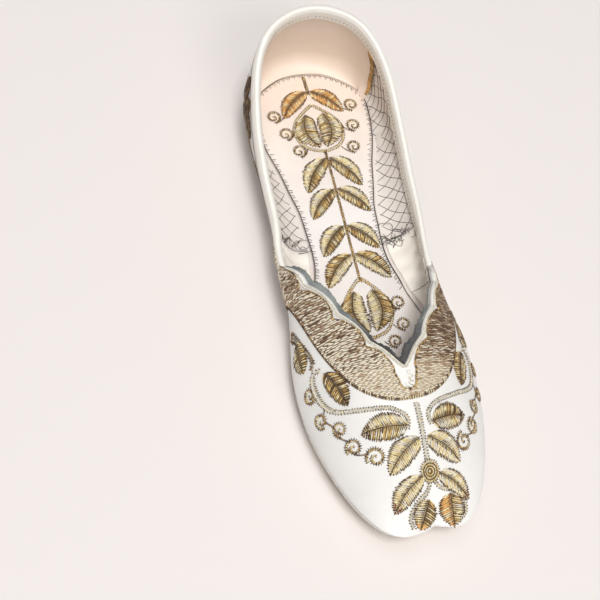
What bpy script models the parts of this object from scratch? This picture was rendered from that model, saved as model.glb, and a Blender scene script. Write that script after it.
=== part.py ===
"""Embroidered ballet flat: a soft, straight-lasted slip-on with a notched toe.

Five pieces: outsole, midsole (welt strip), insole (sock), upper and collar binding.
Toe points to -Y, heel to +Y, +Z up, the shoe stands on the plane z = 0.
Tables are in millimetres; objects are made in metres.
"""
import math
import bpy
import bmesh
import numpy as np
from mathutils import Vector

for old in list(bpy.data.objects):
    bpy.data.objects.remove(old, do_unlink=True)

MM = 0.001

# ---------------------------------------------------------------- driving sizes
LENGTH = 248.0            # toe lobe to heel back, upper at its widest height
TOE_NOTCH = 3.0           # depth of the small notch between the two toe lobes
WALL = 2.0                # upper: leather, reinforcement and lining together
GAP = 0.3                 # room left between two pieces that follow one another
MIDSOLE_T = 2.0           # welt strip thickness
INSOLE_T = 2.6            # sock thickness
SOLE_REVEAL = 1.0         # outsole edge stands this far outside the featherline
MIDSOLE_REVEAL = 0.2
INSOLE_CLEAR = 0.45       # sock edge to inside of the upper
SOLE_EDGE_R = 1.2         # rounding of the outsole's lower edge
TOE_FAN = 42.0            # distance from toe back to the centre the toe sections fan from
HEEL_FAN = 30.0           # the same at the heel
THROAT_Y = -60.0          # bottom of the V throat
CORNER_Y = -9.0           # throat corner, where the collar binding starts
SCALLOP = 1.5             # depth of the throat scallops
SCALLOPS_PER_SIDE = 4
BIND_LEG = 3.2            # binding below the topline
BIND_T = 1.2              # binding leg thickness
BIND_CROWN = 2.0          # binding above the topline

HALF = LENGTH / 2

# Plan outline of the upper at its widest height, right half: (half width, y)
OUTLINE = [
    (0.0, -HALF + TOE_NOTCH),
    (8.4, -HALF),
    (24.2, -0.925 * HALF),
    (33.4, -0.77 * HALF),
    (39.2, -0.585 * HALF),
    (40.2, -0.36 * HALF),
    (36.8, -0.155 * HALF),
    (35.4, 0.20 * HALF),
    (36.3, 0.60 * HALF),
    (33.0, 0.80 * HALF),
    (24.2, 0.925 * HALF),
    (0.0, HALF),
]
OUTLINE_START = (70.0, -30.0)     # direction leaving the notch
OUTLINE_END = (-250.0, 0.0)       # direction arriving at the heel back

# Height profiles, (y, value)
FOOT_Z = [(-124, 13.8), (-105, 11.0), (-85, 8.8), (-68, 7.2), (-45, 6.7), (-22, 6.8), (0, 8.0),
          (30, 9.4), (60, 10.7), (90, 11.4), (124, 11.7)]              # featherline of the upper
SOLE_Z = [(-124, 7.4), (-105, 4.4), (-85, 1.9), (-68, 0.0), (-22, 0.0), (0, 1.1), (30, 1.7),
          (58, 0.0), (124, 0.0)]                                        # underside of the outsole
RIDGE_Z = [(-124, 21.0), (-112, 28.0), (-100, 33.0), (-75, 39.8), (-50, 44.0), (-20, 52.5),
           (20, 62.0), (60, 74.0), (95, 81.0), (124, 82.0)]             # top line of the last
TOPLINE_Z = [(-12, 28.6), (-9, 28.2), (10, 26.6), (35, 27.2), (60, 33.0), (90, 46.5), (124, 60.0)]
BULGE_H = [(-124, 4.6), (-100, 5.6), (-45, 6.0), (-12, 8.5), (20, 13.0), (55, 13.0), (85, 11.5), (124, 10.5)]
TUCK = [(-124, 2.4), (-80, 2.2), (-45, 2.0), (-20, 3.2), (0, 7.0), (20, 11.0), (40, 10.4),
        (60, 8.0), (80, 5.6), (98, 3.8), (124, 3.2)]                    # featherline inside the widest line
SIDE_ROUND = [(-124, 0.91), (-60, 0.91), (-22, 0.68), (20, 0.14), (60, 0.34), (124, 0.51)]
TOP_ROUND = 1.36          # exponent of the rise from widest line to top line


# ---------------------------------------------------------------- curve helpers
def smooth(table):
    """Monotone cubic through the rows of a (y, value) table."""
    x = np.array([r[0] for r in table], float)
    v = np.array([r[1] for r in table], float)
    h = np.diff(x)
    d = np.diff(v) / h
    m = np.zeros_like(x)
    for i in range(1, len(x) - 1):
        if d[i - 1] * d[i] > 0:
            w1, w2 = 2 * h[i] + h[i - 1], h[i] + 2 * h[i - 1]
            m[i] = (w1 + w2) / (w1 / d[i - 1] + w2 / d[i])
    m[0], m[-1] = d[0], d[-1]

    def at(q):
        q = min(max(float(q), x[0]), x[-1])
        i = min(int(np.searchsorted(x, q, side="right")) - 1, len(h) - 1)
        t = (q - x[i]) / h[i]
        a, b = t * t * (3 - 2 * t), t * t * (t - 1)
        return float(v[i] * (1 - a) + v[i + 1] * a + h[i] * (m[i] * (t * (1 - t) ** 2) + m[i + 1] * b))
    return at


def outline_spline(rows, d0, d1):
    """Clamped cubic spline through plan points, parameter 0..1 by chord length."""
    p = np.array(rows, float)
    s = np.concatenate([[0], np.cumsum(np.linalg.norm(np.diff(p, axis=0), axis=1))])
    s /= s[-1]
    n = len(p)
    h = np.diff(s)
    a = np.zeros((n, n))
    b = np.zeros((n, 2))
    a[0, 0] = a[-1, -1] = 1
    b[0], b[-1] = d0, d1
    for i in range(1, n - 1):
        a[i, i - 1], a[i, i], a[i, i + 1] = h[i], 2 * (h[i - 1] + h[i]), h[i - 1]
        b[i] = 3 * (h[i] * (p[i] - p[i - 1]) / h[i - 1] + h[i - 1] * (p[i + 1] - p[i]) / h[i])
    m = np.linalg.solve(a, b)

    def at(q):
        q = min(max(q, 0.0), 1.0)
        i = min(int(np.searchsorted(s, q, side="right")) - 1, n - 2)
        t = (q - s[i]) / h[i]
        return (p[i] * (2 * t ** 3 - 3 * t * t + 1) + p[i + 1] * (3 * t * t - 2 * t ** 3)
                + h[i] * (m[i] * t * (1 - t) ** 2 + m[i + 1] * (t ** 3 - t * t)))
    return at


foot_z, sole_z, ridge_z, topline_z = smooth(FOOT_Z), smooth(SOLE_Z), smooth(RIDGE_Z), smooth(TOPLINE_Z)
bulge_h, tuck_of, side_round = smooth(BULGE_H), smooth(TUCK), smooth(SIDE_ROUND)
outline = outline_spline(OUTLINE, OUTLINE_START, OUTLINE_END)


def fan_centre(y):
    """Point on the centre line that a section at y runs to; sections fan at toe and heel."""
    lo, hi, k = -HALF + TOE_FAN, HALF - HEEL_FAN, 8.0
    a = 0.5 * ((y + lo) + math.sqrt((y - lo) ** 2 + k * k))
    return 0.5 * ((a + hi) - math.sqrt((a - hi) ** 2 + k * k))


def last_point(q, psi):
    """Point on the outside of the upper, right half.

    psi runs from -1 at the featherline through 0 at the widest line to pi/2 on the top line."""
    xo, yo = outline(q)
    ys = fan_centre(yo)
    up = max(psi, 0.0)
    c = math.cos(up) ** side_round(yo) if up < math.pi / 2 - 1e-9 else 0.0
    x, y = xo * c, ys + (yo - ys) * c
    zf = foot_z(y)
    hb = bulge_h(yo)
    if psi >= 0:
        z = zf + hb + (ridge_z(y) - zf - hb) * math.sin(up) ** TOP_ROUND
    else:
        z = zf + hb * (1 + psi)
    reach = math.hypot(xo, yo - ys)
    t = tuck_of(yo) * max(-psi, 0.0) ** 1.7
    return Vector((x - xo / reach * t, y - (yo - ys) / reach * t, z))


def feather(q, inset=0.0):
    """Plan point of the featherline moved inward by inset, right half."""
    a, b = last_point(max(q - 1e-3, 0), -1), last_point(min(q + 1e-3, 1), -1)
    p = last_point(q, -1)
    n = Vector((b.y - a.y, -(b.x - a.x)))
    n.normalize()
    if q <= 1e-6 or q >= 1 - 1e-6:
        n = Vector((0.0, -1.0 if q < 0.5 else 1.0))
    return Vector((max(p.x - n.x * inset, 0.0) if q in (0.0, 1.0) else p.x - n.x * inset, p.y - n.y * inset))


def solve_psi(test, hi=math.pi / 2):
    """Smallest psi in 0..hi where test(psi) turns positive."""
    lo = 0.0
    if test(hi) <= 0:
        return hi
    for _ in range(44):
        mid = (lo + hi) / 2
        if test(mid) > 0:
            hi = mid
        else:
            lo = mid
    return (lo + hi) / 2


def q_at_y(y):
    """Outline parameter whose plan point lies at y, on the side of the shoe."""
    lo, hi = 0.12, 0.97
    for _ in range(50):
        mid = (lo + hi) / 2
        if outline(mid)[1] < y:
            lo = mid
        else:
            hi = mid
    return (lo + hi) / 2


Q_THROAT, Q_CORNER = q_at_y(THROAT_Y), q_at_y(CORNER_Y)
PSI_CORNER = solve_psi(lambda s: last_point(Q_CORNER, s).z - topline_z(CORNER_Y))
CORNER_X = last_point(Q_CORNER, PSI_CORNER).x


def throat_x(y):
    """Half width of the V throat at y: a bowed V with scallops along it."""
    t = (y - THROAT_Y) / (CORNER_Y - THROAT_Y)
    t = min(max(t, 0.0), 1.0)
    bow = 4.0 * t * (1 - t) * 3.2
    wave = abs(math.sin(math.pi * SCALLOPS_PER_SIDE * t)) - 0.5
    fade = min(1.0, 6 * t, 6 * (1 - t))
    return CORNER_X * t + bow - SCALLOP * wave * fade


def top_psi(q):
    """psi at which the upper ends: top line, throat edge or topline."""
    if q <= Q_THROAT + 1e-9:
        return math.pi / 2
    y = outline(q)[1]
    if q < Q_CORNER - 1e-9:
        want = throat_x(y)
        return solve_psi(lambda s: want - last_point(q, s).x)
    return solve_psi(lambda s: last_point(q, s).z - topline_z(last_point(q, s).y))


def spread(q0, q1, n, step):
    """n+1 outline parameters from q0 to q1, spaced in proportion to step(y)."""
    qs = np.linspace(q0, q1, 400)
    w = np.array([0.0] + [float(np.linalg.norm(outline(b) - outline(a))) / step(outline((a + b) / 2)[1])
                          for a, b in zip(qs[:-1], qs[1:])])
    c = np.cumsum(w)
    return [float(np.interp(c[-1] * i / n, c, qs)) for i in range(n + 1)]


# ---------------------------------------------------------------- building helpers
def material(name, colour, rough, coat=0.0):
    m = bpy.data.materials.new(name)
    m.use_nodes = True
    b = m.node_tree.nodes["Principled BSDF"]
    b.inputs["Base Color"].default_value = (*colour, 1.0)
    b.inputs["Roughness"].default_value = rough
    b.inputs["Coat Weight"].default_value = coat
    return m


def solid(name, verts, faces, mat):
    """One closed body with outward faces."""
    bm = bmesh.new()
    vs = [bm.verts.new(Vector(v) * MM) for v in verts]
    for f in faces:
        ids = [i for k, i in enumerate(f) if i != f[k - 1]]
        if len(set(ids)) >= 3:
            bm.faces.new([vs[i] for i in ids])
    bm.verts.ensure_lookup_table()
    bmesh.ops.triangulate(bm, faces=bm.faces[:], quad_method="SHORT_EDGE")
    bmesh.ops.recalc_face_normals(bm, faces=bm.faces[:])
    if bm.calc_volume(signed=True) < 0:
        bmesh.ops.reverse_faces(bm, faces=bm.faces[:])
    me = bpy.data.meshes.new(name)
    bm.to_mesh(me)
    bm.free()
    ob = bpy.data.objects.new(name, me)
    bpy.context.scene.collection.objects.link(ob)
    me.materials.append(mat)
    return ob


def slab(name, qs, rings, mat):
    """A sole-shaped layer. rings: (inset from featherline, height function) from the middle of the
    underside, out round the edge, to the middle of the top; inset None means the centre line."""
    n = len(qs)
    verts, grid = [], []
    for inset, zf in rings:
        row_r, row_l = [], []
        for k, q in enumerate(qs):
            if inset is None:
                y = fan_centre(outline(q)[1])
                i = len(verts)
                verts.append((0.0, y, zf(y)))
                row_r.append(i)
                row_l.append(i)
                continue
            if isinstance(inset, tuple):                  # part of the way from the centre line
                e, f = inset
                p = feather(q, e)
                y = fan_centre(outline(q)[1])
                p = Vector((p.x * f, y + (p.y - y) * f))
            else:
                p = feather(q, inset)
            i = len(verts)
            if k in (0, n - 1):
                verts.append((0.0, p.y, zf(p.y)))
                row_r.append(i)
                row_l.append(i)
            else:
                verts.append((p.x, p.y, zf(p.y)))
                verts.append((-p.x, p.y, zf(p.y)))
                row_r.append(i)
                row_l.append(i + 1)
        grid.append((row_r, row_l))
    faces = []
    for a, b in zip(grid[:-1], grid[1:]):
        for side in (0, 1):
            for k in range(n - 1):
                f = [a[side][k], a[side][k + 1], b[side][k + 1], b[side][k]]
                faces.append(f if side == 0 else f[::-1])
    return solid(name, verts, faces, mat)


# ---------------------------------------------------------------- materials
rubber = material("sole_rubber", (0.72, 0.66, 0.52), 0.28, 0.3)
welt = material("welt_leather", (0.86, 0.84, 0.80), 0.5)
leather = material("upper_leather", (0.88, 0.86, 0.83), 0.42)
sock = material("insole_leather", (0.88, 0.80, 0.75), 0.5)
binding = material("binding_leather", (0.90, 0.88, 0.82), 0.45)

# ---------------------------------------------------------------- soles
sole_cols = spread(0.0, 1.0, 44, lambda y: 2.6 if y < -112 else 3.6 if y < -92 else 4.2 if y > 92 else 8.0)
under = lambda y: sole_z(y)
sole_top = lambda y: foot_z(y) - MIDSOLE_T - 2 * GAP
edge = -SOLE_REVEAL
slab("outsole", sole_cols, [
    (None, under),
    ((edge + SOLE_EDGE_R, 0.55), under),
    (edge + SOLE_EDGE_R, under),
    (edge + 0.25 * SOLE_EDGE_R, lambda y: sole_z(y) + 0.4 * SOLE_EDGE_R),
    (edge, lambda y: sole_z(y) + 1.4 * SOLE_EDGE_R),
    (edge, lambda y: sole_top(y) - 0.5),
    (edge + 0.5, sole_top),
    ((edge + 0.5, 0.55), sole_top),
    (None, sole_top),
], rubber)

mid_low = lambda y: foot_z(y) - MIDSOLE_T - GAP
mid_top = lambda y: foot_z(y) - GAP
slab("midsole", sole_cols, [
    (None, mid_low),
    ((-MIDSOLE_REVEAL, 0.55), mid_low),
    (-MIDSOLE_REVEAL, mid_low),
    (-MIDSOLE_REVEAL, mid_top),
    ((-MIDSOLE_REVEAL, 0.55), mid_top),
    (None, mid_top),
], welt)

sock_edge = WALL + INSOLE_CLEAR
slab("insole", sole_cols, [
    (None, foot_z),
    ((sock_edge, 0.55), foot_z),
    (sock_edge, foot_z),
    (sock_edge, lambda y: foot_z(y) + 0.65 * INSOLE_T),
    (sock_edge + 1.0, lambda y: foot_z(y) + INSOLE_T),
    ((sock_edge + 1.0, 0.55), lambda y: foot_z(y) + INSOLE_T),
    (None, lambda y: foot_z(y) + INSOLE_T),
], sock)

# ---------------------------------------------------------------- upper
cols = (spread(0.0, Q_THROAT, 19, lambda y: 2.6 if y < -112 else 3.8 if y < -92 else 5.5)
        + spread(Q_THROAT, Q_CORNER, 24, lambda y: 1.0)[1:]
        + spread(Q_CORNER, 1.0, 22, lambda y: 4.2 if y > 92 else 7.5)[1:])
K_THROAT, K_CORNER = 19, 43
LOW_ROWS, HIGH_ROWS = 3, 9
n_cols, n_rows = len(cols), LOW_ROWS + HIGH_ROWS + 1
steps = [-1 + i / LOW_ROWS for i in range(LOW_ROWS)] + [i / HIGH_ROWS for i in range(HIGH_ROWS + 1)]

outer, index = [], {}
for k, q in enumerate(cols):
    end = top_psi(q)
    for r, s in enumerate(steps):
        p = last_point(q, s if s < 0 else s * end)
        on_axis = k in (0, n_cols - 1) or (k <= K_THROAT and r == n_rows - 1)
        if on_axis:
            p.x = 0.0
        index[(0, k, r)] = len(outer)
        outer.append(p)
        if on_axis:
            index[(1, k, r)] = len(outer) - 1
        else:
            index[(1, k, r)] = len(outer)
            outer.append(Vector((-p.x, p.y, p.z)))

skin = []
for side in (0, 1):
    for k in range(n_cols - 1):
        for r in range(n_rows - 1):
            f = [index[(side, k, r)], index[(side, k + 1, r)], index[(side, k + 1, r + 1)], index[(side, k, r + 1)]]
            skin.append(f if side == 0 else f[::-1])

normals = [Vector((0, 0, 0)) for _ in outer]
for f in skin:
    ids = [i for k, i in enumerate(f) if i != f[k - 1]]
    a, b = outer[f[2]] - outer[f[0]], outer[f[3]] - outer[f[1]]
    nrm = a.cross(b)
    for i in set(ids):
        normals[i] += nrm
probe = index[(0, n_cols // 2, LOW_ROWS)]
if normals[probe].x < 0:
    normals = [-v for v in normals]
inner = []
for i, p in enumerate(outer):
    v = normals[i].normalized()
    if abs(p.x) < 1e-9:
        v = Vector((0, v.y, v.z)).normalized()
    inner.append(p - v * WALL)
for k, q in enumerate(cols):                      # the lower rim is flat: move inward in plan only
    for side in (0, 1):
        i = index[(side, k, 0)]
        f = feather(q, WALL)
        inner[i] = Vector((f.x if side == 0 else -f.x, f.y, outer[i].z))

m = len(outer)
faces = [f for f in skin] + [[i + m for i in f[::-1]] for f in skin]
for side in (0, 1):
    for k in range(n_cols - 1):
        a, b = index[(side, k, 0)], index[(side, k + 1, 0)]
        faces.append([b, a, a + m, b + m] if side == 0 else [a, b, b + m, a + m])
        if k >= K_THROAT:
            a, b = index[(side, k, n_rows - 1)], index[(side, k + 1, n_rows - 1)]
            faces.append([a, b, b + m, a + m] if side == 0 else [b, a, a + m, b + m])
solid("upper", outer + inner, faces, leather)

# ---------------------------------------------------------------- collar binding
SLOT = WALL / 2 + GAP
OUT = SLOT + BIND_T
SECTION = [                       # (across the wall, up the wall), slot last
    (SLOT, -BIND_LEG), (OUT - 0.2, -BIND_LEG), (OUT, -BIND_LEG + 0.5), (OUT + 0.05, 0.2),
    (OUT - 0.5, BIND_CROWN - 0.6), (0.8, BIND_CROWN), (-0.8, BIND_CROWN), (-OUT + 0.5, BIND_CROWN - 0.6),
    (-OUT - 0.05, 0.2), (-OUT, -BIND_LEG + 0.5), (-OUT + 0.2, -BIND_LEG), (-SLOT, -BIND_LEG),
    (-SLOT, GAP), (SLOT, GAP),
]
stations = [(0, k) for k in range(K_CORNER, n_cols)] + [(1, k) for k in range(n_cols - 2, K_CORNER - 1, -1)]
rows = []
for side, k in stations:
    i, j = index[(side, k, n_rows - 1)], index[(side, k, n_rows - 3)]
    mid = (outer[i] + inner[i]) / 2
    n = (outer[i] - inner[i]).normalized()
    u = (outer[i] - outer[j]).normalized()
    u = (u - n * u.dot(n)).normalized()
    rows.append([mid + n * a + u * b for a, b in SECTION])
s = len(SECTION)
verts = [p for row in rows for p in row]
faces = []
for r in range(len(rows) - 1):
    for i in range(s):
        j = (i + 1) % s
        faces.append([r * s + i, r * s + j, (r + 1) * s + j, (r + 1) * s + i])
faces.append(list(range(s)))
faces.append([(len(rows) - 1) * s + i for i in range(s)][::-1])
solid("collar_binding", verts, faces, binding)

# ---------------------------------------------------------------- centre in plan
everything = [ob for ob in bpy.context.scene.objects]
ys = [v.co.y for ob in everything for v in ob.data.vertices]
shift = -(min(ys) + max(ys)) / 2
for ob in everything:
    for v in ob.data.vertices:
        v.co.y += shift
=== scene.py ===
"""Looks of the embroidered ballet flat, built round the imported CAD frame.

Helpers work in millimetres in the row frame: toe at -Y, heel at +Y, up +Z. Meshes are in metres.
"""
import math
from collections import namedtuple
from functools import partial

import bmesh
import bpy
import numpy as np
from mathutils import Matrix, Vector
from mathutils.bvhtree import BVHTree

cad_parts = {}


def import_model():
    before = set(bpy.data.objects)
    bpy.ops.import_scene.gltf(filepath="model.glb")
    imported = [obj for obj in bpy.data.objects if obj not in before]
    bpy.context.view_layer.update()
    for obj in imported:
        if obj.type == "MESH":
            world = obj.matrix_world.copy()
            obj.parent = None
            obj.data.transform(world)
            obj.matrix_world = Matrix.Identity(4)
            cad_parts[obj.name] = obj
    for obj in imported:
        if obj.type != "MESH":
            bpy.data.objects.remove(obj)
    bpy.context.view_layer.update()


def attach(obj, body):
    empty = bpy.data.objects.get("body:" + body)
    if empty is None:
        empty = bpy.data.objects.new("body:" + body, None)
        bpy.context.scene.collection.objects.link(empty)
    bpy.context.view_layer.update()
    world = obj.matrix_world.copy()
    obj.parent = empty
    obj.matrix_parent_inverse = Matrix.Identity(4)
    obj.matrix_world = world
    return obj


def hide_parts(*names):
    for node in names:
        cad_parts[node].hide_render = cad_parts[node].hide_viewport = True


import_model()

MM = 0.001
RNG = np.random.default_rng(11)
SIDES = {1: "right", -1: "left"}

# ---------------- sizes, as in the CAD (mm)
LENGTH, TOE_NOTCH, WALL, GAP = 248.0, 3.0, 2.0, 0.3
MIDSOLE_T, INSOLE_T, SOLE_REVEAL, MIDSOLE_REVEAL = 2.0, 2.6, 1.0, 0.2
TOE_FAN, HEEL_FAN, FAN_ROUND = 42.0, 30.0, 8.0
THROAT_Y, CORNER_Y, SCALLOP, SCALLOPS_PER_SIDE = -60.0, -9.0, 1.5, 4
HALF = LENGTH / 2
OUTLINE = [
    (0.0, -HALF + TOE_NOTCH), (8.4, -HALF), (24.2, -0.925 * HALF), (33.4, -0.77 * HALF),
    (39.2, -0.585 * HALF), (40.2, -0.36 * HALF), (36.8, -0.155 * HALF), (35.4, 0.20 * HALF),
    (36.3, 0.60 * HALF), (33.0, 0.80 * HALF), (24.2, 0.925 * HALF), (0.0, HALF),
]
FOOT_Z = [(-124, 13.8), (-105, 11.0), (-85, 8.8), (-68, 7.2), (-45, 6.7), (-22, 6.8), (0, 8.0),
          (30, 9.4), (60, 10.7), (90, 11.4), (124, 11.7)]
SOLE_Z = [(-124, 7.4), (-105, 4.4), (-85, 1.9), (-68, 0.0), (-22, 0.0), (0, 1.1), (30, 1.7),
          (58, 0.0), (124, 0.0)]
RIDGE_Z = [(-124, 21.0), (-112, 28.0), (-100, 33.0), (-75, 39.8), (-50, 44.0), (-20, 52.5),
           (20, 62.0), (60, 74.0), (95, 81.0), (124, 82.0)]
TOPLINE_Z = [(-12, 28.6), (-9, 28.2), (10, 26.6), (35, 27.2), (60, 33.0), (90, 46.5), (124, 60.0)]
BULGE_H = [(-124, 4.6), (-100, 5.6), (-45, 6.0), (-12, 8.5), (20, 13.0), (55, 13.0), (85, 11.5),
           (124, 10.5)]
TUCK = [(-124, 2.4), (-80, 2.2), (-45, 2.0), (-20, 3.2), (0, 7.0), (20, 11.0), (40, 10.4),
        (60, 8.0), (80, 5.6), (98, 3.8), (124, 3.2)]
SIDE_ROUND = [(-124, 0.91), (-60, 0.91), (-22, 0.68), (20, 0.14), (60, 0.34), (124, 0.51)]
TOP_ROUND, TUCK_CURVE, THROAT_BOW = 1.36, 1.7, 12.8


# ---------------- small maths
def unit(v):
    return v / (np.linalg.norm(v, axis=-1, keepdims=True) + 1e-12)


def ease(x):
    """0 to 1 with soft ends as x goes from 0 to 1."""
    x = np.clip(x, 0, 1)
    return x * x * (3 - 2 * x)


def arc(p):
    """Length along a polyline up to each of its points."""
    return np.concatenate([[0], np.cumsum(np.linalg.norm(np.diff(p, axis=0), axis=1))])


def rows_at(s, places, table):
    """Rows of a table at s, linear between the places of its rows."""
    return np.stack([np.interp(s, places, column) for column in table.T], -1)


def right_of(t):
    """Plan directions a quarter turn to the right of t."""
    return np.stack([t[..., 1], -t[..., 0]], -1)


def outward(path):
    """Plan directions a quarter turn to the right of a path."""
    return right_of(unit(np.gradient(path, axis=0)))


def hump(k, ends=0.05):
    """Height of an arch of 1 at k from 0 to 1, cut off before its ends."""
    return np.sin(math.pi * np.clip(k, ends, 1 - ends))


def between(a, b, points=4):
    """Straight rows of points from each of a to each of b, and how far along each point lies."""
    k = np.linspace(0, 1, points)[None, :, None]
    return a[:, None] * (1 - k) + b[:, None] * k, k


def on_side(side, p):
    """Points or directions of the right half, mirrored to the left where side is -1."""
    return p * np.array([side, 1, 1])


def mirrored(p):
    return on_side(-1, p)


def whole(p, closed=True):
    """Right half grid (rows, cols, 3) with its left half; closed where both end columns are central."""
    left = mirrored(p)[:, ::-1]
    return np.concatenate([p, left[:, 1:-1] if closed else left[:, 1:]], 1)


def bisect(below, lo, hi, rounds):
    """Bisection on arrays: below(x) is true where the answer is above x."""
    for _ in range(rounds):
        mid = (lo + hi) / 2
        low = below(mid)
        lo, hi = np.where(low, mid, lo), np.where(low, hi, mid)
    return (lo + hi) / 2


def smooth(table):
    """Monotone cubic through the rows of a (y, value) table, for arrays."""
    x, v = np.array(table, float).T
    h = np.diff(x)
    d = np.diff(v) / h
    m = np.zeros_like(x)
    for i in range(1, len(x) - 1):
        if d[i - 1] * d[i] > 0:
            w1, w2 = 2 * h[i] + h[i - 1], h[i] + 2 * h[i - 1]
            m[i] = (w1 + w2) / (w1 / d[i - 1] + w2 / d[i])
    m[0], m[-1] = d[0], d[-1]

    def at(q):
        q = np.clip(np.asarray(q, float), x[0], x[-1])
        i = np.clip(np.searchsorted(x, q, side="right") - 1, 0, len(h) - 1)
        t = (q - x[i]) / h[i]
        a = ease(t)
        rise = m[i] * t * (1 - t) ** 2 + m[i + 1] * t * t * (t - 1)
        return v[i] * (1 - a) + v[i + 1] * a + h[i] * rise
    return at


def spline(rows, d0=None, d1=None):
    """Cubic spline through points of any dimension, parameter 0..1 by chord length."""
    p = np.array(rows, float)
    s = arc(p)
    s /= s[-1]
    n, h = len(p), np.diff(s)
    a, b = np.zeros((n, n)), np.zeros_like(p)
    if d0 is None:
        a[0, 0], a[0, 1], b[0] = 2, 1, 3 * (p[1] - p[0]) / h[0]
        a[-1, -1], a[-1, -2], b[-1] = 2, 1, 3 * (p[-1] - p[-2]) / h[-1]
    else:
        a[0, 0] = a[-1, -1] = 1
        b[0], b[-1] = d0, d1
    for i in range(1, n - 1):
        a[i, i - 1], a[i, i], a[i, i + 1] = h[i], 2 * (h[i - 1] + h[i]), h[i - 1]
        b[i] = 3 * (h[i] * (p[i] - p[i - 1]) / h[i - 1] + h[i - 1] * (p[i + 1] - p[i]) / h[i])
    m = np.linalg.solve(a, b)

    def at(q):
        q = np.clip(np.asarray(q, float), 0, 1)
        i = np.clip(np.searchsorted(s, q, side="right") - 1, 0, n - 2)
        t, hi = ((q - s[i]) / h[i])[..., None], h[i][..., None]
        return (p[i] * (2 * t ** 3 - 3 * t * t + 1) + p[i + 1] * (3 * t * t - 2 * t ** 3)
                + hi * (m[i] * t * (1 - t) ** 2 + m[i + 1] * (t ** 3 - t * t)))
    return at


# ---------------- the last's surface
foot_z, sole_z, ridge_z, topline_z = smooth(FOOT_Z), smooth(SOLE_Z), smooth(RIDGE_Z), smooth(TOPLINE_Z)
bulge_h, tuck_of, side_round = smooth(BULGE_H), smooth(TUCK), smooth(SIDE_ROUND)
outline = spline(OUTLINE, (70.0, -30.0), (-250.0, 0.0))


def fan_centre(y):
    """Point on the centre line that a section at y runs to; sections fan at toe and heel."""
    lo, hi = -HALF + TOE_FAN, HALF - HEEL_FAN
    a = 0.5 * ((y + lo) + np.sqrt((y - lo) ** 2 + FAN_ROUND ** 2))
    return 0.5 * ((a + hi) - np.sqrt((a - hi) ** 2 + FAN_ROUND ** 2))


def last_point(q, psi):
    """Outside of the upper, right half: psi -1 at the featherline, 0 widest line, pi/2 top line."""
    q, psi = np.broadcast_arrays(np.asarray(q, float), np.asarray(psi, float))
    o = outline(q)
    xo, yo = o[..., 0], o[..., 1]
    ys = fan_centre(yo)
    up = np.clip(psi, 0, math.pi / 2)
    c = np.where(up < math.pi / 2 - 1e-9, np.abs(np.cos(up)) ** side_round(yo), 0.0)
    x, y = xo * c, ys + (yo - ys) * c
    zf, hb = foot_z(y), bulge_h(yo)
    z = np.where(psi >= 0, zf + hb + (ridge_z(y) - zf - hb) * np.sin(up) ** TOP_ROUND, zf + hb * (1 + psi))
    reach = np.hypot(xo, yo - ys)
    t = tuck_of(yo) * np.clip(-psi, 0, 1) ** TUCK_CURVE
    return np.stack([x - xo / reach * t, y - (yo - ys) / reach * t, z], -1)


def last_normal(q, psi):
    """Outward unit normal of the same surface."""
    q, psi = np.broadcast_arrays(np.asarray(q, float), np.asarray(psi, float))
    e = 2e-3
    psi = np.minimum(psi, math.pi / 2 - 2 * e)
    qa, qb = np.clip(q - e, 0, 1), np.clip(q + e, 0, 1)
    n = np.cross(last_point(qb, psi) - last_point(qa, psi), last_point(q, psi + e) - last_point(q, psi - e))
    n[..., 0] = np.where((q <= 0) | (q >= 1), 0.0, n[..., 0])
    return unit(n)


def feather(q, inset=0.0):
    """Featherline in plan, right half, moved inward by inset."""
    q = np.asarray(q, float)
    a, b = last_point(np.clip(q - 1e-3, 0, 1), -1), last_point(np.clip(q + 1e-3, 0, 1), -1)
    end = (q <= 1e-6) | (q >= 1 - 1e-6)
    flat = np.stack([np.zeros_like(q), np.where(q < 0.5, -1.0, 1.0)], -1)
    r = last_point(q, -1)[..., :2] - np.where(end[..., None], flat, unit(right_of(b - a))) * inset
    r[..., 0] = np.where(end, 0.0, r[..., 0])
    return r


Q_SIDE = (0.12, 0.97)  # outline parameters between which y rises all the way


def q_at_y(y):
    """Outline parameter whose plan point lies at y, on the side of the shoe."""
    y = np.asarray(y, float)
    return bisect(lambda q: outline(q)[..., 1] < y, *(np.full_like(y, q) for q in Q_SIDE), 46)


def solve_psi(test, like):
    """Smallest psi in 0..pi/2 where test(psi) turns positive, for an array of columns."""
    lo, hi = np.zeros_like(like), np.full_like(like, math.pi / 2)
    return np.where(test(hi) <= 0, hi, bisect(lambda psi: test(psi) <= 0, lo, hi, 44))


Q_THROAT, Q_CORNER = float(q_at_y(THROAT_Y)), float(q_at_y(CORNER_Y))
corner = np.array([Q_CORNER])
psi_corner = solve_psi(lambda psi: last_point(corner, psi)[..., 2] - topline_z(CORNER_Y), corner)
CORNER_X = float(last_point(corner, psi_corner)[0, 0])


def throat_x(y, scallop=SCALLOP):
    """Half width of the V throat at y: a bowed V with scallops along it."""
    t = np.clip((np.asarray(y, float) - THROAT_Y) / (CORNER_Y - THROAT_Y), 0, 1)
    wave = np.abs(np.sin(math.pi * SCALLOPS_PER_SIDE * t)) - 0.5
    fade = np.minimum(1.0, np.minimum(6 * t, 6 * (1 - t)))
    return CORNER_X * t + THROAT_BOW * t * (1 - t) - scallop * wave * fade


def top_psi(q):
    """psi at which the upper ends: top line, throat edge or topline."""
    q = np.asarray(q, float)
    y = outline(q)[..., 1]
    throat = solve_psi(lambda psi: throat_x(y) - last_point(q, psi)[..., 0], q)
    quarter = solve_psi(lambda psi: last_point(q, psi)[..., 2] - topline_z(last_point(q, psi)[..., 1]), q)
    return np.where(q <= Q_THROAT + 1e-9, math.pi / 2, np.where(q < Q_CORNER - 1e-9, throat, quarter))


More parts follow.
